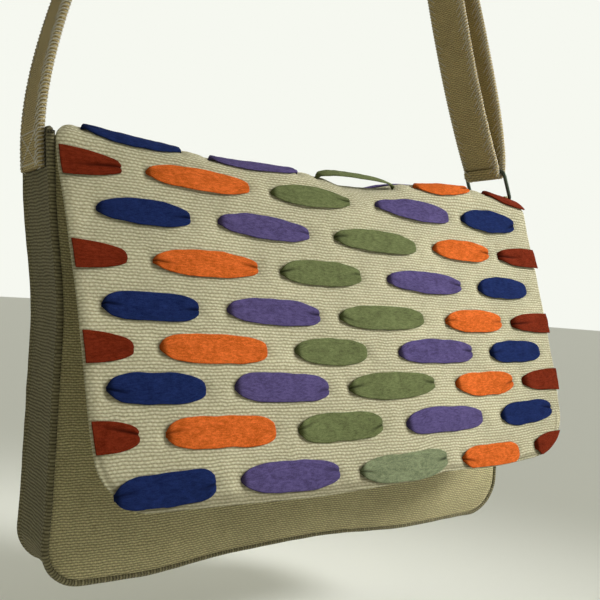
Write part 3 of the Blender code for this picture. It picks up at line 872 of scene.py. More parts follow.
def linen(name, light, dark, thread, weft=1.15, period=2, warp_share=0.7, depth=0.5, slub=0.3):
    """Loosely spun linen: round threads with dark gaps, slubs and dull short fibres."""
    made, tree = blank(name)
    height, flat = woven(tree, thread, thread * weft, period, warp_share)
    slubs = []
    for slub_size in ((SLUB_LENGTH, thread * weft), (thread, SLUB_LENGTH)):
        scale = (1 / slub_size[0], 1 / slub_size[1], 1.0)
        stretched = add(tree, "ShaderNodeVectorMath", flat, scale, operation="MULTIPLY")
        slubs.append(
            add(tree, "ShaderNodeTexNoise", {"Vector": stretched, "Scale": 1.0, "Detail": 2.0})
        )
    slubs = add(tree, "ShaderNodeMath", *slubs, operation="ADD")
    slubby = add(tree, "ShaderNodeMath", slubs, slub, -slub, operation="MULTIPLY_ADD")
    fibres = add(
        tree, "ShaderNodeTexNoise", {"Vector": flat, "Scale": 4 / thread, "Detail": 3.0}
    )
    fluff = add(tree, "ShaderNodeMath", fibres, FLUFF, -FLUFF / 2, operation="MULTIPLY_ADD")
    lit = add(tree, "ShaderNodeMath", height, slubby, operation="ADD")
    tone = add(tree, "ShaderNodeMath", lit, fluff, operation="ADD", use_clamp=True)
    patches = add(
        tree, "ShaderNodeTexNoise", {"Vector": flat, "Scale": 1 / WASH_SIZE, "Detail": 2.0}
    )
    wash = add(tree, "ShaderNodeMapRange", patches, *NOISE_RANGE, *WASH)
    base = add(tree, "ShaderNodeMix", tone, opaque(dark), opaque(light), data_type="RGBA")
    tinted = add(
        tree, "ShaderNodeVectorMath", base, wash.outputs["Result"], operation="MULTIPLY"
    )
    # Painted shade in folds, slits and along the hem, from the points' attribute
    crease = add(tree, "ShaderNodeAttribute", attribute_name="crease")
    shaded = add(
        tree, "ShaderNodeMix", crease.outputs["Fac"], tinted, opaque(dark, LINEN_PAINTED_SHADE),
        data_type="RGBA",
    )
    bump = add(
        tree, "ShaderNodeBump", {"Strength": 1.0, "Distance": depth * thread, "Height": tone}
    )
    shader = add(tree, "ShaderNodeBsdfPrincipled", {
        "Base Color": shaded, "Roughness": 0.92, "Specular IOR Level": 0.12, "Sheen Weight": 0.08,
        "Sheen Roughness": 0.6, "Normal": bump,
    })
    add(tree, "ShaderNodeOutputMaterial", shader)
    return made


def suede(name, base):
    """Brushed split leather: a short nap that lies light one way and dark the other."""
    made, tree = blank(name)
    flat = add(tree, "ShaderNodeAttribute", attribute_name="cloth")
    at = flat.outputs["Vector"]
    brushed = add(tree, "ShaderNodeTexNoise", {
        "Vector": at, "Scale": 1 / HIDE_WAVE, "Detail": 4.0, "Distortion": 0.6,
    })
    combed = add(
        tree, "ShaderNodeVectorMath", at, (1 / NAP_LENGTH, 1 / NAP_WIDTH, 1.0), operation="MULTIPLY"
    )
    nap = add(
        tree, "ShaderNodeTexNoise", {"Vector": combed, "Scale": 1.0, "Detail": 4.0, "Roughness": 0.6}
    )
    grit = add(tree, "ShaderNodeTexNoise", {"Vector": at, "Scale": 1 / NAP_GRIT, "Detail": 2.0})
    wide = add(tree, "ShaderNodeMath", brushed, HIDE_SHARE, operation="MULTIPLY")
    mixed = add(tree, "ShaderNodeMath", nap, NAP_SHARE, wide, operation="MULTIPLY_ADD")
    tone = add(tree, "ShaderNodeMath", grit, GRIT_SHARE, mixed, operation="MULTIPLY_ADD")
    level = add(tree, "ShaderNodeMapRange", tone, *NAP_RANGE, 0.0, 1.0)
    light = opaque([NAP_LIGHT * c + NAP_BLOOM * max(base) for c in base])
    coat = add(
        tree, "ShaderNodeMix", level.outputs["Result"], opaque(base, NAP_DARK), light,
        data_type="RGBA",
    )
    # Painted shade in the folds at the strip's ends and next to its slits
    crease = add(tree, "ShaderNodeAttribute", attribute_name="crease")
    folded = add(
        tree, "ShaderNodeMix", crease.outputs["Fac"], coat, opaque(base, SUEDE_PAINTED_SHADE),
        data_type="RGBA",
    )
    bump = add(tree, "ShaderNodeBump", {"Strength": 0.7, "Distance": NAP_RELIEF, "Height": tone})
    shader = add(tree, "ShaderNodeBsdfPrincipled", {
        "Base Color": folded, "Roughness": 1.0, "Specular IOR Level": 0.06, "Sheen Weight": 0.2,
        "Sheen Roughness": 0.5, "Sheen Tint": light, "Normal": bump,
    })
    add(tree, "ShaderNodeOutputMaterial", shader)
    return made


def gunmetal(name, base):
    """Blackened steel wire, drawn and tumbled: dull, with soft streaky highlights."""
    made, tree = blank(name)
    place = add(tree, "ShaderNodeTexCoord")
    worn = add(tree, "ShaderNodeTexNoise", {
        "Vector": place.outputs["Object"], "Scale": 1 / WORN_SPOT, "Detail": 3.0,
    })
    rough = add(tree, "ShaderNodeMapRange", worn, *NOISE_RANGE, *METAL_ROUGHNESS)
    shade = add(
        tree, "ShaderNodeMix", worn, opaque(base, METAL_DARK), opaque(base), data_type="RGBA"
    )
    shader = add(tree, "ShaderNodeBsdfPrincipled", {
        "Base Color": shade, "Metallic": 1.0, "Roughness": rough.outputs["Result"],
    })
    add(tree, "ShaderNodeOutputMaterial", shader)
    return made


def spun(name, base):
    """Waxed linen thread: dull, twisted from two strands."""
    made, tree = blank(name)
    place = add(tree, "ShaderNodeTexCoord")
    twist = add(
        tree, "ShaderNodeTexNoise", {"Vector": place.outputs["Object"], "Scale": 1 / THREAD_TWIST}
    )
    shade = add(
        tree, "ShaderNodeMix", twist, opaque(base, TWIST_DARK), opaque(base), data_type="RGBA"
    )
    shader = add(tree, "ShaderNodeBsdfPrincipled", {
        "Base Color": shade, "Roughness": 0.8, "Specular IOR Level": 0.2, "Sheen Weight": 0.2,
    })
    add(tree, "ShaderNodeOutputMaterial", shader)
    return made


def piece(name, points, faces, material, nodes=(), flat=None, painted_shades=None):
    """Smooth mesh that rides with the bag, with its flat cloth coordinates and painted shade on its
    points.
    """
    mesh = bpy.data.meshes.new(name)
    mesh.from_pydata(points, [], faces)
    mesh.materials.append(material)
    mesh.shade_smooth()
    if flat:
        spots = mesh.attributes.new("cloth", "FLOAT_VECTOR", "POINT")
        spots.data.foreach_set("vector", [c for spot in flat for c in spot])
    # Painted shade of folds, slits and hems, kept on the points for the materials
    if painted_shades:
        mesh.attributes.new("crease", "FLOAT", "POINT").data.foreach_set("value", painted_shades)
    made = bpy.data.objects.new(name, mesh)
    bpy.context.collection.objects.link(made)
    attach(made, BODY)
    if nodes:
        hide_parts(*nodes)
    return made


def sheet(name, outer, inner, flat, material, nodes, painted_shades=None):
    """Cloth or suede between two grids of points, its edges rounded."""
    rows, columns = len(outer), len(outer[0])
    size = rows * columns
    points = [p for row in outer for p in row] + [p for row in inner for p in row]
    spots = [s for row in flat for s in row] * 2
    marks = [m for row in painted_shades for m in row] * 2 if painted_shades else None
    faces = []
    for i in range(rows - 1):
        for j in range(columns - 1):
            a, b = i * columns + j, (i + 1) * columns + j
            faces.append((a, b, b + 1, a + 1))
            faces.append((size + a, size + a + 1, size + b + 1, size + b))
    border = [(0, j) for j in range(columns)] + [(i, columns - 1) for i in range(1, rows)]
    border += [(rows - 1, j) for j in range(columns - 2, -1, -1)]
    border += [(i, 0) for i in range(rows - 2, 0, -1)]
    for i, j in border:
        inward = (min(max(i, 1), rows - 2), min(max(j, 1), columns - 2))
        top, low = outer[i][j], inner[i][j]
        away = (top + low) / 2 - (outer[inward[0]][inward[1]] + inner[inward[0]][inward[1]]) / 2
        points.append((top + low) / 2 + away.normalized() * (top - low).length * RIM_BULGE)
        spots.append(flat[i][j])
        if painted_shades:
            marks.append(painted_shades[i][j])
    count = len(border)
    for k in range(count):
        (i, j), (m, n) = border[k], border[(k + 1) % count]
        a, b = i * columns + j, m * columns + n
        c, d = 2 * size + k, 2 * size + (k + 1) % count
        faces.append((a, b, d, c))
        faces.append((c, d, size + b, size + a))
    return piece(name, points, faces, material, nodes, spots, marks)


def tube(name, rings, material, nodes, closed, flat=None):
    """Skin through rings of points, closed on itself or with flat ends."""
    sides, count = len(rings[0]), len(rings)
    points = [p for ring in rings for p in ring]
    faces = []
    for i in range(count if closed else count - 1):
        a, b = i * sides, (i + 1) % count * sides
        for j in range(sides):
            k = (j + 1) % sides
            faces.append((a + j, a + k, b + k, b + j))
    if not closed:
        faces.append(tuple(range(sides))[::-1])
        faces.append(tuple(range((count - 1) * sides, count * sides)))
    return piece(name, points, faces, material, nodes, flat)


def sewn(name, dashes, radius, material):
    """Sewing thread: one small bent capsule for each dash, given as points and an outward way."""
    sides = THREAD_SIDES
    points, faces = [], []
    for path, out in dashes:
        start = len(points)
        last = len(path) - 1
        for i, point in enumerate(path):
            ahead = (path[min(i + 1, last)] - path[max(i - 1, 0)]).normalized()
            side = ahead.cross(out).normalized()
            up = side.cross(ahead)
            r = radius * (THREAD_TIP if i in (0, last) else 1.0)
            for k in range(sides):
                a = tau * k / sides
                points.append(point + side * (r * cos(a)) + up * (r * sin(a)))
        for i in range(last):
            for k in range(sides):
                a, b = start + i * sides + k, start + i * sides + (k + 1) % sides
                faces.append((a, b, b + sides, a + sides))
        faces.append(tuple(range(start, start + sides))[::-1])
        faces.append(tuple(range(start + last * sides, start + (last + 1) * sides)))
    return piece(name, points, faces, material)


def dashes_on(line, out, pitch):
    """Dashes of a running stitch along a line of points, each dipping into the cloth."""
    lengths = lengths_along(line)

    def spot(at):
        i, t = stretch_at(lengths, at)
        return line[i].lerp(line[i + 1], t)
    dashes = []
    count = max(int(lengths[-1] / pitch), 1)
    for k in range(count):
        path = []
        for part, rise in DASH_LINE:
            at = lengths[-1] * (k + (1 - SEAM_SHARE) / 2 + SEAM_SHARE * part) / count
            path.append(spot(at) + out * SEAM_THREAD * rise)
        dashes.append((path, out))
    return dashes


def band(name, route, half_width, half_thickness, material, node, unevenness=0.0):
    """Folded band of linen along a route in the XZ plane, and its length."""
    lengths = lengths_along(route)
    section = band_section(half_width, half_thickness)
    rings, flat = [], []
    for i, (point, run) in enumerate(zip(route, lengths)):
        out = outward(route, i)
        lump = unevenness * lumpy(STRAP_LUMPS, run, 0.0, seed=5.0)
        rings.append([
            point + Vector((0.0, y + lump, 0.0))
            + out * (n * (1 + unevenness * lumpy(STRAP_THICK_SPOTS, run, y, seed=6.0)))
            for y, n, _ in section
        ])
        flat += [(around, run, 0.0) for _, _, around in section]
    return tube(name, rings, material, [node], False, flat), lengths[-1]


def bent_wire(name, middle, ways, sizes, corner, steps, section, material, node):
    """Closed loop round a rectangle in two of three directions, with a section of its own."""
    first, second, third = ways
    rings = []
    for a, b, out_a, out_b in rounded_box(*sizes, corner, steps):
        centre = middle + first * a + second * b
        out = first * out_a + second * out_b
        rings.append([centre + out * n + third * h for n, h in section])
    return tube(name, rings, material, [node], True)


class BAG_OT_flap(bpy.types.Operator):
    """Makes the flap: one sheet of linen, puckered where the suede goes through it"""
    bl_idname = "bag.flap"
    bl_label = "Flap"

    def execute(self, context):
        shape = Shape(context.scene.bag_sizes)
        cloth = context.scene.bag_cloth
        ends = shape.stitch_ends()
        rows = self.rows(shape)
        lines = [
            hemmed(-shape.flap_edge(along, -1), shape.flap_edge(along, 1), FLAP_COLUMNS)
            for along in rows
        ]
        outer, inner, flat, painted_shades = [], [], [], []
        for along, line in zip(rows, lines):
            places = [along + shape.hem_drop(x, along) for x in line]
            outer.append([
                shape.flap_point(x, place, -self.sunk(shape, ends, x, along))
                for x, place in zip(line, places)
            ])
            inner.append([shape.flap_point(x, place, -shape.wall) for x, place in zip(line, places)])
            flat.append([(x, place, 0.0) for x, place in zip(line, places)])
            # Painted shade along the hem and in the slits
            painted_shades.append([self.shade(shape, ends, x, along) for x in line])
        material = linen(
            "coarse natural linen", cloth.flap_light, cloth.flap_dark, cloth.flap_thread, weft=1.32,
            warp_share=0.6, slub=0.42, depth=0.35,
        )
        made = sheet(
            "flap_cloth", outer, inner, flat, material, ["flap"], painted_shades
        )
        return {"FINISHED"}

    def rows(self, shape):
        """Places along the cloth, from the end of the band on the back to the hem."""
        start, band_end = shape.flap_start, shape.flap_start + BACK_BAND
        rows = [start, start + BAND_NEAR[0]] + spread(start + BAND_NEAR[1], band_end, BAND_ROWS)
        rows += spread(band_end + TOP_NEAR[0], -TOP_NEAR[1], TOP_ROWS)
        rows += spread(0.0, shape.arc, FOLD_ROWS)
        return rows + hemmed(shape.arc, shape.flap_length, FLAP_ROWS)[4:]

    def near_ends(self, ends, x, along, size, reach):
        """Strengths at a place of soft marks of a size round the stitches' ends."""
        return [
            exp(-((end_x - x) / size[0]) ** 2 - ((end_along - along) / size[1]) ** 2)
            for end_x, end_along in ends
            if abs(end_x - x) < reach[0] and abs(end_along - along) < reach[1]
        ]

    def sunk(self, shape, ends, x, along):
        """How far the linen is drawn in at the stitches and turned over at its edge."""
        puckers = self.near_ends(ends, x, along, PUCKER_SIZE, PUCKER_REACH)
        margin = max(shape.flap_margin(x, along), 0.0)
        return PUCKER_DEPTH * sum(puckers) + TURNED_DEPTH * max(0.0, 1 - margin / TURNED_WIDTH) ** 2

    def shade(self, shape, ends, x, along):
        """Painted shade on the line and band of the hem, and in the slits where the suede goes
        through.
        """
        margin = shape.flap_margin(x, along)
        line = ease(margin, *HEM_LINE_START) * (1 - ease(margin, *HEM_LINE_END))
        low = ease(along / shape.flap_length, *HEM_LINE_LOW)
        slits = self.near_ends(ends, x, along, SLIT_SIZE, SLIT_REACH)
        return max(
            line * (HEM_LINE_PAINTED_SHADE + HEM_LINE_PAINTED_SHADE_LOW * low),
            HEM_BAND_PAINTED_SHADE * shape.hem_drop(x, along) / HEM_DROP,
            SLIT_PAINTED_SHADE * max(slits, default=0.0),
        )


class BAG_OT_body(bpy.types.Operator):
    """Makes the body: a front and a back of linen, and the strip sewn between them"""
    bl_idname = "bag.body"
    bl_label = "Body"

    def execute(self, context):
        shape = Shape(context.scene.bag_sizes)
        cloth = context.scene.bag_cloth
        body = linen(
            "taupe linen", cloth.body_light, cloth.body_dark, cloth.body_thread, weft=1.1,
            depth=0.45,
        )
        # The strip's linen is the panels' linen, darkened as painted shade
        strip = linen(
            "taupe linen, cut across", [GUSSET_PAINTED_SHADE_THREADS * c for c in cloth.body_light],
            [GUSSET_PAINTED_SHADE_GAPS * c for c in cloth.body_dark], cloth.body_thread, weft=1.4,
            warp_share=0.5, depth=0.5,
        )
        self.panel(shape, "front_panel", -1, FRONT_EDGE_DROP + BACK_EDGE_DROP, body)
        self.panel(shape, "back_panel", 1, BACK_EDGE_DROP, body)
        self.gusset(shape, strip)
        return {"FINISHED"}

    def panel(self, shape, name, face, top_drop, material):
        """The body's front (-1) or back (1), crowned between the seams."""
        inset = shape.wall + SEAM_GAP / 4
        spots = []
        sides = (shape.side_path(side, inset, PANEL_ROWS) for side in ("left", "right"))
        for (left, down, _, _), (right, right_down, _, _) in zip(*sides):
            spots.append([
                (share, -left + (right + left) * share, down + (right_down - down) * share)
                for share in spread(0.0, 1.0, PANEL_COLUMNS)
            ])

        def point(share, x, down, depth):
            down = max(down, top_drop)
            side, z = shape.settle(x, down)
            free = 1 - (2 * share - 1) ** 4
            still = ease(shape.body_height - down, 0.0, PANEL_STILL_FOOT)
            bulge = PANEL_CROWN * read(CROWN_LINE, down / shape.body_height) * free
            bulge += lumpy(PANEL_LUMPS, x, down, seed=face) * free * still
            y = face * (shape.body_depth / 2 - PANEL_RECESS / 2 - depth + bulge)
            return Vector((side, y, z))
        outer, inner = (
            [[point(*spot, depth) for spot in line] for line in spots] for depth in (0.0, shape.wall)
        )
        flat = [[(x, down, 0.0) for _, x, down in line] for line in spots]
        return sheet(f"{name}_cloth", outer, inner, flat, material, [name])

    def gusset(self, shape, material):
        """The strip between them, rolled outward along both seams."""
        places = hemmed(-0.5, 0.5, GUSSET_COLUMNS, (0.012, 0.028, 0.05))
        path = shape.gusset_path()

        def point(x, down, out_x, out_down, at, stand):
            roll = read(GUSSET_SECTION, at, "roll")
            lump = lumpy(GUSSET_LUMPS, at * shape.body_depth, x + down, seed=3.0)
            ridge = 1 - RIDGE_LOSS * ease(x, *RIDGE_END) * ease(out_down, *RIDGE_TURN)
            offset = stand * (roll * ridge * SEAM_ROLL + lump) - (1 - stand) * shape.wall
            dip = FRONT_EDGE_DROP * read(GUSSET_SECTION, at, "dip") if down == 0 else 0.0
            side, z = shape.settle(x + out_x * offset, down + dip + out_down * offset)
            return Vector((side, at * shape.body_depth, z))
        outer, inner = (
            [[point(*stop, at, stand) for at in places] for stop in path] for stand in (1, 0)
        )
        runs = lengths_along([Vector(stop[:2]) for stop in path])
        flat = [[(at * shape.body_depth, run, 0.0) for at in places] for run in runs]
        return sheet("gusset_cloth", outer, inner, flat, material, ["gusset"])


class BAG_OT_stitches(bpy.types.Operator):
    """Makes the suede stitches, each a strip pinched where it goes through the flap"""
    bl_idname = "bag.stitches"
    bl_label = "Suede stitches"

    def execute(self, context):
        shape = Shape(context.scene.bag_sizes)
        cloth = context.scene.bag_cloth
        hides = {
            name: suede(f"{name} suede", getattr(cloth, name))
            for name in ("blue", "purple", "green", "pale_green", "orange", "rust")
        }
        for row in range(len(ROW_PLACES)):
            for column, place in enumerate(FULL_ROW if row % 2 else SHIFTED_ROW):
                is_faded = row == FADED_ROW and place.colour == "green"
                hide = hides["pale_green" if is_faded else place.colour]
                self.stitch(shape, row, column, place, hide)
        return {"FINISHED"}

    def stitch(self, shape, row, column, place, hide):
        """One strip of suede, narrower and creased where it goes through the linen."""
        pick = Random(97 * row + column)
        ends = shape.stitch_reach(row, column, place)
        span = ends[1] - ends[0]
        middle = shape.flap_length * ROW_PLACES[row] + NUDGES.get((row, column + 1), STILL).down
        centre = shape.flap_width * place.centre
        lie = {name: read(LIE, row, name) for name in ("squareness", "width", "lift", "swell")}
        seed = 7.0 * row + column
        darts = [
            (
                side, pick.uniform(-DART_TURN, DART_TURN), pick.uniform(-DART_SLANT, DART_SLANT),
                pick.choice(DART_DEEPNESS),
            )
            for side in (-1, 1)
        ]
        square = {side: lie["squareness"] * pick.uniform(*END_CHANGE) for side in (-1, 1)}
        if place.edge:
            square = EDGE_SQUARENESS
        tilt = pick.uniform(-STITCH_TILT, STITCH_TILT) + TILTS.get((row, column + 1), 0.0)
        bow = pick.uniform(-STITCH_BOW, STITCH_BOW)
        rim = centre - place.edge * span / 2 + (LEFT_REACH if place.edge < 0 else 0.0)
        foot = shape.flap_foot(rim + place.edge * STITCH_LEAST) - STITCH_MARGIN
        foot += shape.hem_drop(centre, foot) / 2

        def spot(share, turn):
            """Where on the flap a point of the strip lies, how high above it, and how much painted
            shade it has.
            """
            at = share - 0.5
            near = min(abs(2 * at) / (1 - 2 * STITCH_TIP / span), 1.0)
            if place.edge:
                inward = share if place.edge > 0 else 1 - share
                near = 1 - inward
                at = -place.edge * near / 2
            full = (1 - near ** square[-1 if at < 0 else 1]) ** END_ROUNDNESS
            width = lie["width"] * (STITCH_PINCH + (1 - STITCH_PINCH) * full)
            half_width = shape.stitch_height / 2 * width
            along = middle + half_width * turn + tilt * 2 * at + bow * (1 - (2 * at) ** 2)
            along += lumpy(SUEDE_EDGE_LUMPS, at * span, turn * SUEDE_EDGE_TURN, seed)
            along = min(along, foot)
            x = ends[0] + span * share
            if place.edge:
                reach = place.edge * (shape.flap_edge(along, place.edge) - STITCH_MARGIN)
                x = rim + (reach - rim) * inward
            sink, crease = self.folds(darts, place.edge, span, half_width, at, turn)
            out = lie["swell"] * (1 - turn * turn)
            out += lie["lift"] * max(turn, 0.0) ** 2 * (1 - (2 * at) ** 2)
            out += lumpy(SUEDE_LUMPS, at * span, turn * SUEDE_LUMP_TURN, seed) - sink
            return Spot(share, at, x, along, out, crease)
        turns = hemmed(-1.0, 1.0, STITCH_ROWS, (0.04, 0.09, 0.16))
        shares = hemmed(0.0, 1.0, STITCH_COLUMNS, (0.006, 0.014, 0.028))
        spots = [[spot(share, turn) for turn in turns] for share in shares]

        def point(spot, stand):
            rise = STITCH_GAP / 2 + VISIBLE_SUEDE * shape.suede * stand
            if row == LOOP_ROW and place.colour == LOOP_COLOUR:
                return self.loop_point(shape, ends, middle, spot, rise)
            return shape.flap_point(spot.x, spot.along, spot.out + rise)
        outer, inner = ([[point(s, stand) for s in line] for line in spots] for stand in (1, 0))
        flat = [
            [(share * span, turn * shape.stitch_height / 2, seed * 0.1) for turn in turns]
            for share in shares
        ]
        painted_shades = [[s.crease for s in line] for line in spots]
        return sheet(
            f"stitch_{row}_{column + 1}", outer, inner, flat, hide,
            [f"suede_{row}_{column + 1}"], painted_shades,
        )

    def folds(self, darts, edge, span, half_width, at, turn):
        """How far the folds at a strip's ends sink a point of it, and the painted shade they put on
        it.
        """
        sink = crease = 0.0
        for side, dart_turn, slant, deep in darts:
            gap = (0.5 - side * at) * span
            if side == edge or gap < 0:
                continue
            away = (turn - dart_turn - slant * gap / DART_REACH) * half_width
            fold = deep * exp(-(away / DART_WIDTH) ** 2 - (gap / DART_REACH) ** 4)
            swell = exp(-((abs(away) - SWELL_AWAY) / SWELL_WIDTH) ** 2 - (gap / DART_REACH) ** 2)
            sink += DART_DEPTH * fold - DART_SWELL * deep * swell
            sink += STITCH_DIVE * max(0.0, 1 - gap / STITCH_DIVE_REACH) ** 2
            # The folds and the slit get painted shade
            crease = min(crease + DART_SHADE * fold, 1.0)
            crease = max(crease, SLIT_SHADE * max(0.0, 1 - gap / SLIT_SHADE_REACH))
        return sink, crease

    def loop_point(self, shape, ends, middle, spot, rise):
        """Point of the strip that stands off the fold."""
        left, right = (shape.flap_skin(end, middle) for end in ends)
        arch = 1 - (2 * spot.at) ** LOOP_SQUARENESS
        tilt = middle / FOLD_RADIUS * (1 - LOOP_FLATTENING * arch)
        forward = Vector((0.0, -cos(tilt), -sin(tilt)))
        up = Vector((0.0, -sin(tilt), cos(tilt)))
        stand = spot.out + rise + LOOP_RISE * arch
        return left.lerp(right, spot.share) + forward * (spot.along - middle) + up * stand


class BAG_OT_strap(bpy.types.Operator):
    """Makes the strap: a folded band, oversewn along both edges"""
    bl_idname = "bag.strap"
    bl_label = "Strap"

    def execute(self, context):
        shape = Shape(context.scene.bag_sizes)
        cloth = context.scene.bag_cloth
        material = linen(
            "olive brown linen twill", cloth.strap_light, cloth.strap_dark, cloth.strap_thread,
            weft=0.9, period=3, warp_share=0.8, depth=0.5,
        )
        route = shape.strap_route()
        made, run = band(
            "strap_band", route, shape.strap_width / 2, shape.strap_thickness / 2, material,
            "strap", unevenness=1.0,
        )
        self.oversew(shape, route, cloth)
        return {"FINISHED"}

    def oversew(self, shape, route, cloth):
        """Slanting thread round both folded edges of the strap."""
        half = shape.strap_thickness / 2
        high = BAND_FULLNESS * half + EDGE_RISE
        lengths = lengths_along(route)
        pick = Random(3)
        dashes = []
        for side in (-1, 1):
            for k in range(int(lengths[-1] / EDGE_PITCH) - 1):
                path = []
                reach = pick.uniform(*(SHORT_REACH if k % 2 else LONG_REACH))
                shoulder = (EDGE_SHOULDER[0] * half, -EDGE_SHOULDER[1] * high)
                # Round the edge from one face to the other
                places = ((reach, -high), (half, -high), shoulder, (-EDGE_OUT, 0.0))
                places += tuple((back, -n) for back, n in places[-2::-1])
                for back, n in places:
                    at = (k + 0.5) * EDGE_PITCH + EDGE_SLANT * n / high * back / half
                    # Before the strap's start i is -1, which tucks the thread into its end
                    i = min(bisect_right(lengths, at) - 1, len(route) - 2)
                    t = (at - lengths[i]) / (lengths[i + 1] - lengths[i])
                    middle = route[i].lerp(route[i + 1], t)
                    away = Vector((0.0, side * (shape.strap_width / 2 - back), 0.0))
                    path.append(middle + away + outward(route, i) * n)
                dashes.append((path, Vector((0.0, side, 0.0))))
        thread = spun("pale linen thread", cloth.thread)
        sewn("strap_edge_thread", dashes, EDGE_THREAD, thread)


class BAG_OT_fittings(bpy.types.Operator):
    """Makes the ring, its linen tab and the slider"""
    bl_idname = "bag.fittings"
    bl_label = "Ring, tab and slider"

    def execute(self, context):
        shape = Shape(context.scene.bag_sizes)
        cloth = context.scene.bag_cloth
        metal = gunmetal("blackened steel", cloth.metal)
        self.ring(shape, metal)
        self.slider(shape, metal)
        self.tab(shape, cloth)
        return {"FINISHED"}

    def ring(self, shape, metal):
        """Wire bent to a rectangle, leaning in with the strap that hangs in it."""
        side, up = Vector((0.0, 1.0, 0.0)), leaning(RING_LEAN)
        radius = shape.ring_wire / 2
        sizes = (shape.strap_width / 2 + RING_SIDE_PLAY + radius, shape.ring_height / 2)
        angles = [tau * i / WIRE_SIDES for i in range(WIRE_SIDES)]
        section = [(radius * cos(a), radius * sin(a)) for a in angles]
        middle = (shape.ring_foot() + shape.ring_head()) / 2
        return bent_wire(
            "ring_wire", middle, (side, up, side.cross(up)), sizes, RING_CORNER, 9, section, metal,
            "strap_ring",
        )

    def slider(self, shape, metal):
        """Flat loop round the strap's two layers."""
        middle, up = shape.slider_frame()
        side = Vector((0.0, 1.0, 0.0))
        sizes = (
            shape.strap_width / 2 + SEAM_GAP + SLIDER_WALL / 2,
            shape.strap_thickness + 1.5 * SEAM_GAP + SLIDER_WALL / 2,
        )
        section = [
            (n, h) for n, h, _, _ in
            rounded_box(SLIDER_WALL / 2, SLIDER_HEIGHT / 2, SLIDER_WALL / 2.5, 4)
        ]
        return bent_wire(
            "slider_loop", middle, (side, side.cross(up), up), sizes, SLIDER_CORNER, 7, section,
            metal, "strap_slider",
        )

    def tab(self, shape, cloth):
        """Linen band round the ring's lower bar, with a leg on each face of the gusset."""
        material = linen(
            "taupe linen tab", cloth.body_light, cloth.body_dark, 0.9 * cloth.body_thread, depth=0.35
        )
        reach = shape.ring_wire / 2 + SEAM_GAP + TAB_THICKNESS / 2

        def leg(x_side, downs):
            spots = [shape.settle(shape.body_width / 2 - shape.wall / 2, down) for down in downs]
            return [Vector((x + x_side * reach, 0.0, z)) for x, z in spots]
        route = leg(1, spread(TAB_SEAM, TAB_LEG_START, 8)) + arc(shape.ring_foot(), reach, 0.0, pi, 15)
        route += leg(-1, spread(TAB_LEG_START, TAB_SEAM, 8))
        return band(
            "tab_cloth", route, shape.strap_width / 2 - TAB_SIDE_PLAY, TAB_THICKNESS / 2, material,
            "ring_tab",
        )


class BAG_OT_seams(bpy.types.Operator):
    """Sews the strap's end, the tab and the flap's back band with thread"""
    bl_idname = "bag.seams"
    bl_label = "Seams"

    def execute(self, context):
        shape = Shape(context.scene.bag_sizes)
        thread = spun("pale sewing thread", context.scene.bag_cloth.thread)
        half = shape.body_width / 2 - TOP_INSET - BAND_SEAM_END
        dashes = []
        for drop in (BAND_SEAM_INSET, BACK_BAND - BAND_SEAM_INSET):
            line = [
                shape.flap_point(x, shape.flap_start + drop, 0.0) for x in spread(-half, half, 90)
            ]
            dashes += dashes_on(line, Vector((0.0, 1.0, 0.0)), BAND_SEAM_PITCH)
        half = shape.strap_width / 2
        dashes += self.box_seam(shape, -1, STRAP_SEAM, shape.strap_thickness + SEAM_GAP, half)
        tab_out = shape.ring_wire / 2 + SEAM_GAP + TAB_THICKNESS - shape.wall / 2
        dashes += self.box_seam(shape, 1, TAB_SEAM, tab_out, half - TAB_SIDE_PLAY)
        sewn("seam_thread", dashes, SEAM_THREAD, thread)
        return {"FINISHED"}

    def box_seam(self, shape, side, seam, out, half_width):
        """Rectangle and cross of stitches that hold a band's end to the gusset."""
        low, high = seam - BOX_SEAM_FOOT, BOX_SEAM_TOP
        wide = half_width - BOX_SEAM_INSET
        corners = [(-wide, low), (wide, low), (wide, high), (-wide, high)]
        lines = [(corners[k], corners[(k + 1) % 4]) for k in range(4)]
        lines += [(corners[0], corners[2]), (corners[1], corners[3])]
        dashes = []
        for (y0, down0), (y1, down1) in lines:
            line = []
            for share in spread(0.0, 1.0, 12):
                x, z = shape.settle(side * shape.body_width / 2, down0 + (down1 - down0) * share)
                line.append(Vector((x + side * out, y0 + (y1 - y0) * share, z)))
            dashes += dashes_on(line, Vector((side, 0.0, 0.0)), BOX_SEAM_PITCH)
        return dashes


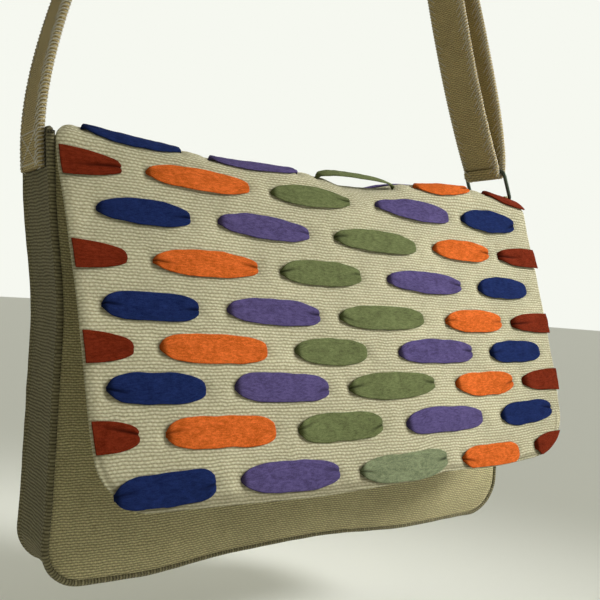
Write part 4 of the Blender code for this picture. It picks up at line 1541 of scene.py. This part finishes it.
class BAG_OT_stage(bpy.types.Operator):
    """Sets the pale floor, the lights and the camera"""
    bl_idname = "bag.stage"
    bl_label = "Stage"

    def execute(self, context):
        stage = context.scene.bag_stage
        low, high = CAD_BOX
        self.floor(low.z - stage.floor_gap, stage)
        self.world(context.scene, stage)
        middle = (low + high) / 2
        middle.z = low.z + BODY_MIDDLE
        self.light(KEY_LAMP, middle, stage.key_power)
        self.light(FILL_LAMP, middle, stage.fill_power)
        context.scene.view_settings.view_transform = "Standard"
        self.camera(context.scene, stage)
        return {"FINISHED"}

    def floor(self, z, stage):
        """Matt floor, with patches that are barely less pale."""
        made, tree = blank("pale matt floor")
        spots = add(tree, "ShaderNodeTexNoise", {"Scale": FLOOR_PATCHES, "Detail": 2.0})
        shade = add(
            tree, "ShaderNodeMix", spots, opaque(stage.floor, FLOOR_DIM), opaque(stage.floor),
            data_type="RGBA",
        )
        shader = add(tree, "ShaderNodeBsdfPrincipled", {
            "Base Color": shade, "Roughness": 0.9, "Specular IOR Level": 0.2,
        })
        add(tree, "ShaderNodeOutputMaterial", shader)
        reach = FLOOR_REACH
        mesh = bpy.data.meshes.new("floor")
        mesh.from_pydata(
            [(-reach, -reach, z), (reach, -reach, z), (reach, reach, z), (-reach, reach, z)], [],
            [(0, 1, 2, 3)],
        )
        mesh.materials.append(made)
        floor = bpy.data.objects.new("floor", mesh)
        bpy.context.collection.objects.link(floor)

    def world(self, scene, stage):
        """Room that is bright on one side and dim on the other."""
        scene.world = bpy.data.worlds.new("pale room")
        scene.world.use_nodes = True
        tree = scene.world.node_tree
        tree.nodes.clear()
        way = add(tree, "ShaderNodeTexCoord")
        bright_side = add(
            tree, "ShaderNodeVectorMath", way.outputs["Generated"], BRIGHT_WAY,
            operation="DOT_PRODUCT",
        )
        strength = add(
            tree, "ShaderNodeMapRange", bright_side.outputs["Value"], *BRIGHT_EDGE,
            stage.sky * stage.shade, stage.sky, interpolation_type="SMOOTHSTEP",
        )
        side = add(
            tree, "ShaderNodeMapRange", bright_side.outputs["Value"], *BRIGHT_EDGE, 0.0, 1.0
        )
        tint = add(
            tree, "ShaderNodeMix", side.outputs["Result"], opaque(stage.dim), opaque(stage.pale),
            data_type="RGBA",
        )
        sky = add(tree, "ShaderNodeBackground", tint, strength)
        add(tree, "ShaderNodeOutputWorld", sky)

    def light(self, lamp, middle, power):
        """Round soft light, aimed from the body's middle."""
        data = bpy.data.lights.new(lamp.name, "AREA")
        data.shape = "DISK"
        data.size = LAMP_SIZE
        data.energy = power
        data.spread = lamp.beam
        made = bpy.data.objects.new(lamp.name, data)
        made.location = middle + Vector(lamp.place)
        way = Vector(lamp.aim) - Vector(lamp.place)
        made.rotation_euler = way.to_track_quat("-Z", "Y").to_euler()
        bpy.context.collection.objects.link(made)

    def camera(self, scene, stage):
        """Camera of the view from the left, turned by its own angles."""
        yaw, pitch, roll = CAMERA_YAW, CAMERA_PITCH, CAMERA_ROLL
        ahead = Vector((sin(yaw) * cos(pitch), cos(yaw) * cos(pitch), sin(pitch)))
        right = Vector((cos(yaw), -sin(yaw), 0.0))
        up = right.cross(ahead)
        turned_right = cos(roll) * right + sin(roll) * up
        turned_up = cos(roll) * up - sin(roll) * right
        matrix = Matrix((turned_right, turned_up, -ahead)).transposed().to_4x4()
        matrix.translation = Vector(CAMERA_PLACE)
        data = bpy.data.cameras.new("camera")
        data.lens = stage.lens
        camera = bpy.data.objects.new("camera", data)
        camera.matrix_world = matrix
        bpy.context.collection.objects.link(camera)
        scene.camera = camera


MAKERS = (
    BAG_OT_stage, BAG_OT_flap, BAG_OT_body, BAG_OT_stitches, BAG_OT_strap, BAG_OT_fittings,
    BAG_OT_seams,
)
GROUPS = (("bag_sizes", BagSizes), ("bag_cloth", BagCloth), ("bag_stage", BagStage))


class BAG_PT_panel(bpy.types.Panel):
    """Sizes, colours and makers of the bag's pieces"""
    bl_idname = "BAG_PT_panel"
    bl_label = "Linen shoulder bag"
    bl_space_type = "VIEW_3D"
    bl_region_type = "UI"
    bl_category = "Bag"

    def draw(self, context):
        """Shows the sizes and colours, and a button for each maker."""
        for group, kind in GROUPS:
            box = self.layout.box()
            for name in kind.__annotations__:
                box.prop(getattr(context.scene, group), name)
        for maker in MAKERS:
            self.layout.operator(maker.bl_idname)


def register():
    """Adds the bag's settings, makers and panel to Blender."""
    for group, kind in GROUPS:
        bpy.utils.register_class(kind)
        setattr(bpy.types.Scene, group, bpy.props.PointerProperty(type=kind))
    for maker in (*MAKERS, BAG_PT_panel):
        bpy.utils.register_class(maker)


def unregister():
    """Takes them out again."""
    for maker in (BAG_PT_panel, *MAKERS[::-1]):
        bpy.utils.unregister_class(maker)
    for group, kind in GROUPS[::-1]:
        delattr(bpy.types.Scene, group)
        bpy.utils.unregister_class(kind)


def main():
    """Makes the bag and its stage."""
    register()
    for maker in MAKERS:
        group, name = maker.bl_idname.split(".")
        getattr(getattr(bpy.ops, group), name)()


if __name__ == "__main__":
    main()
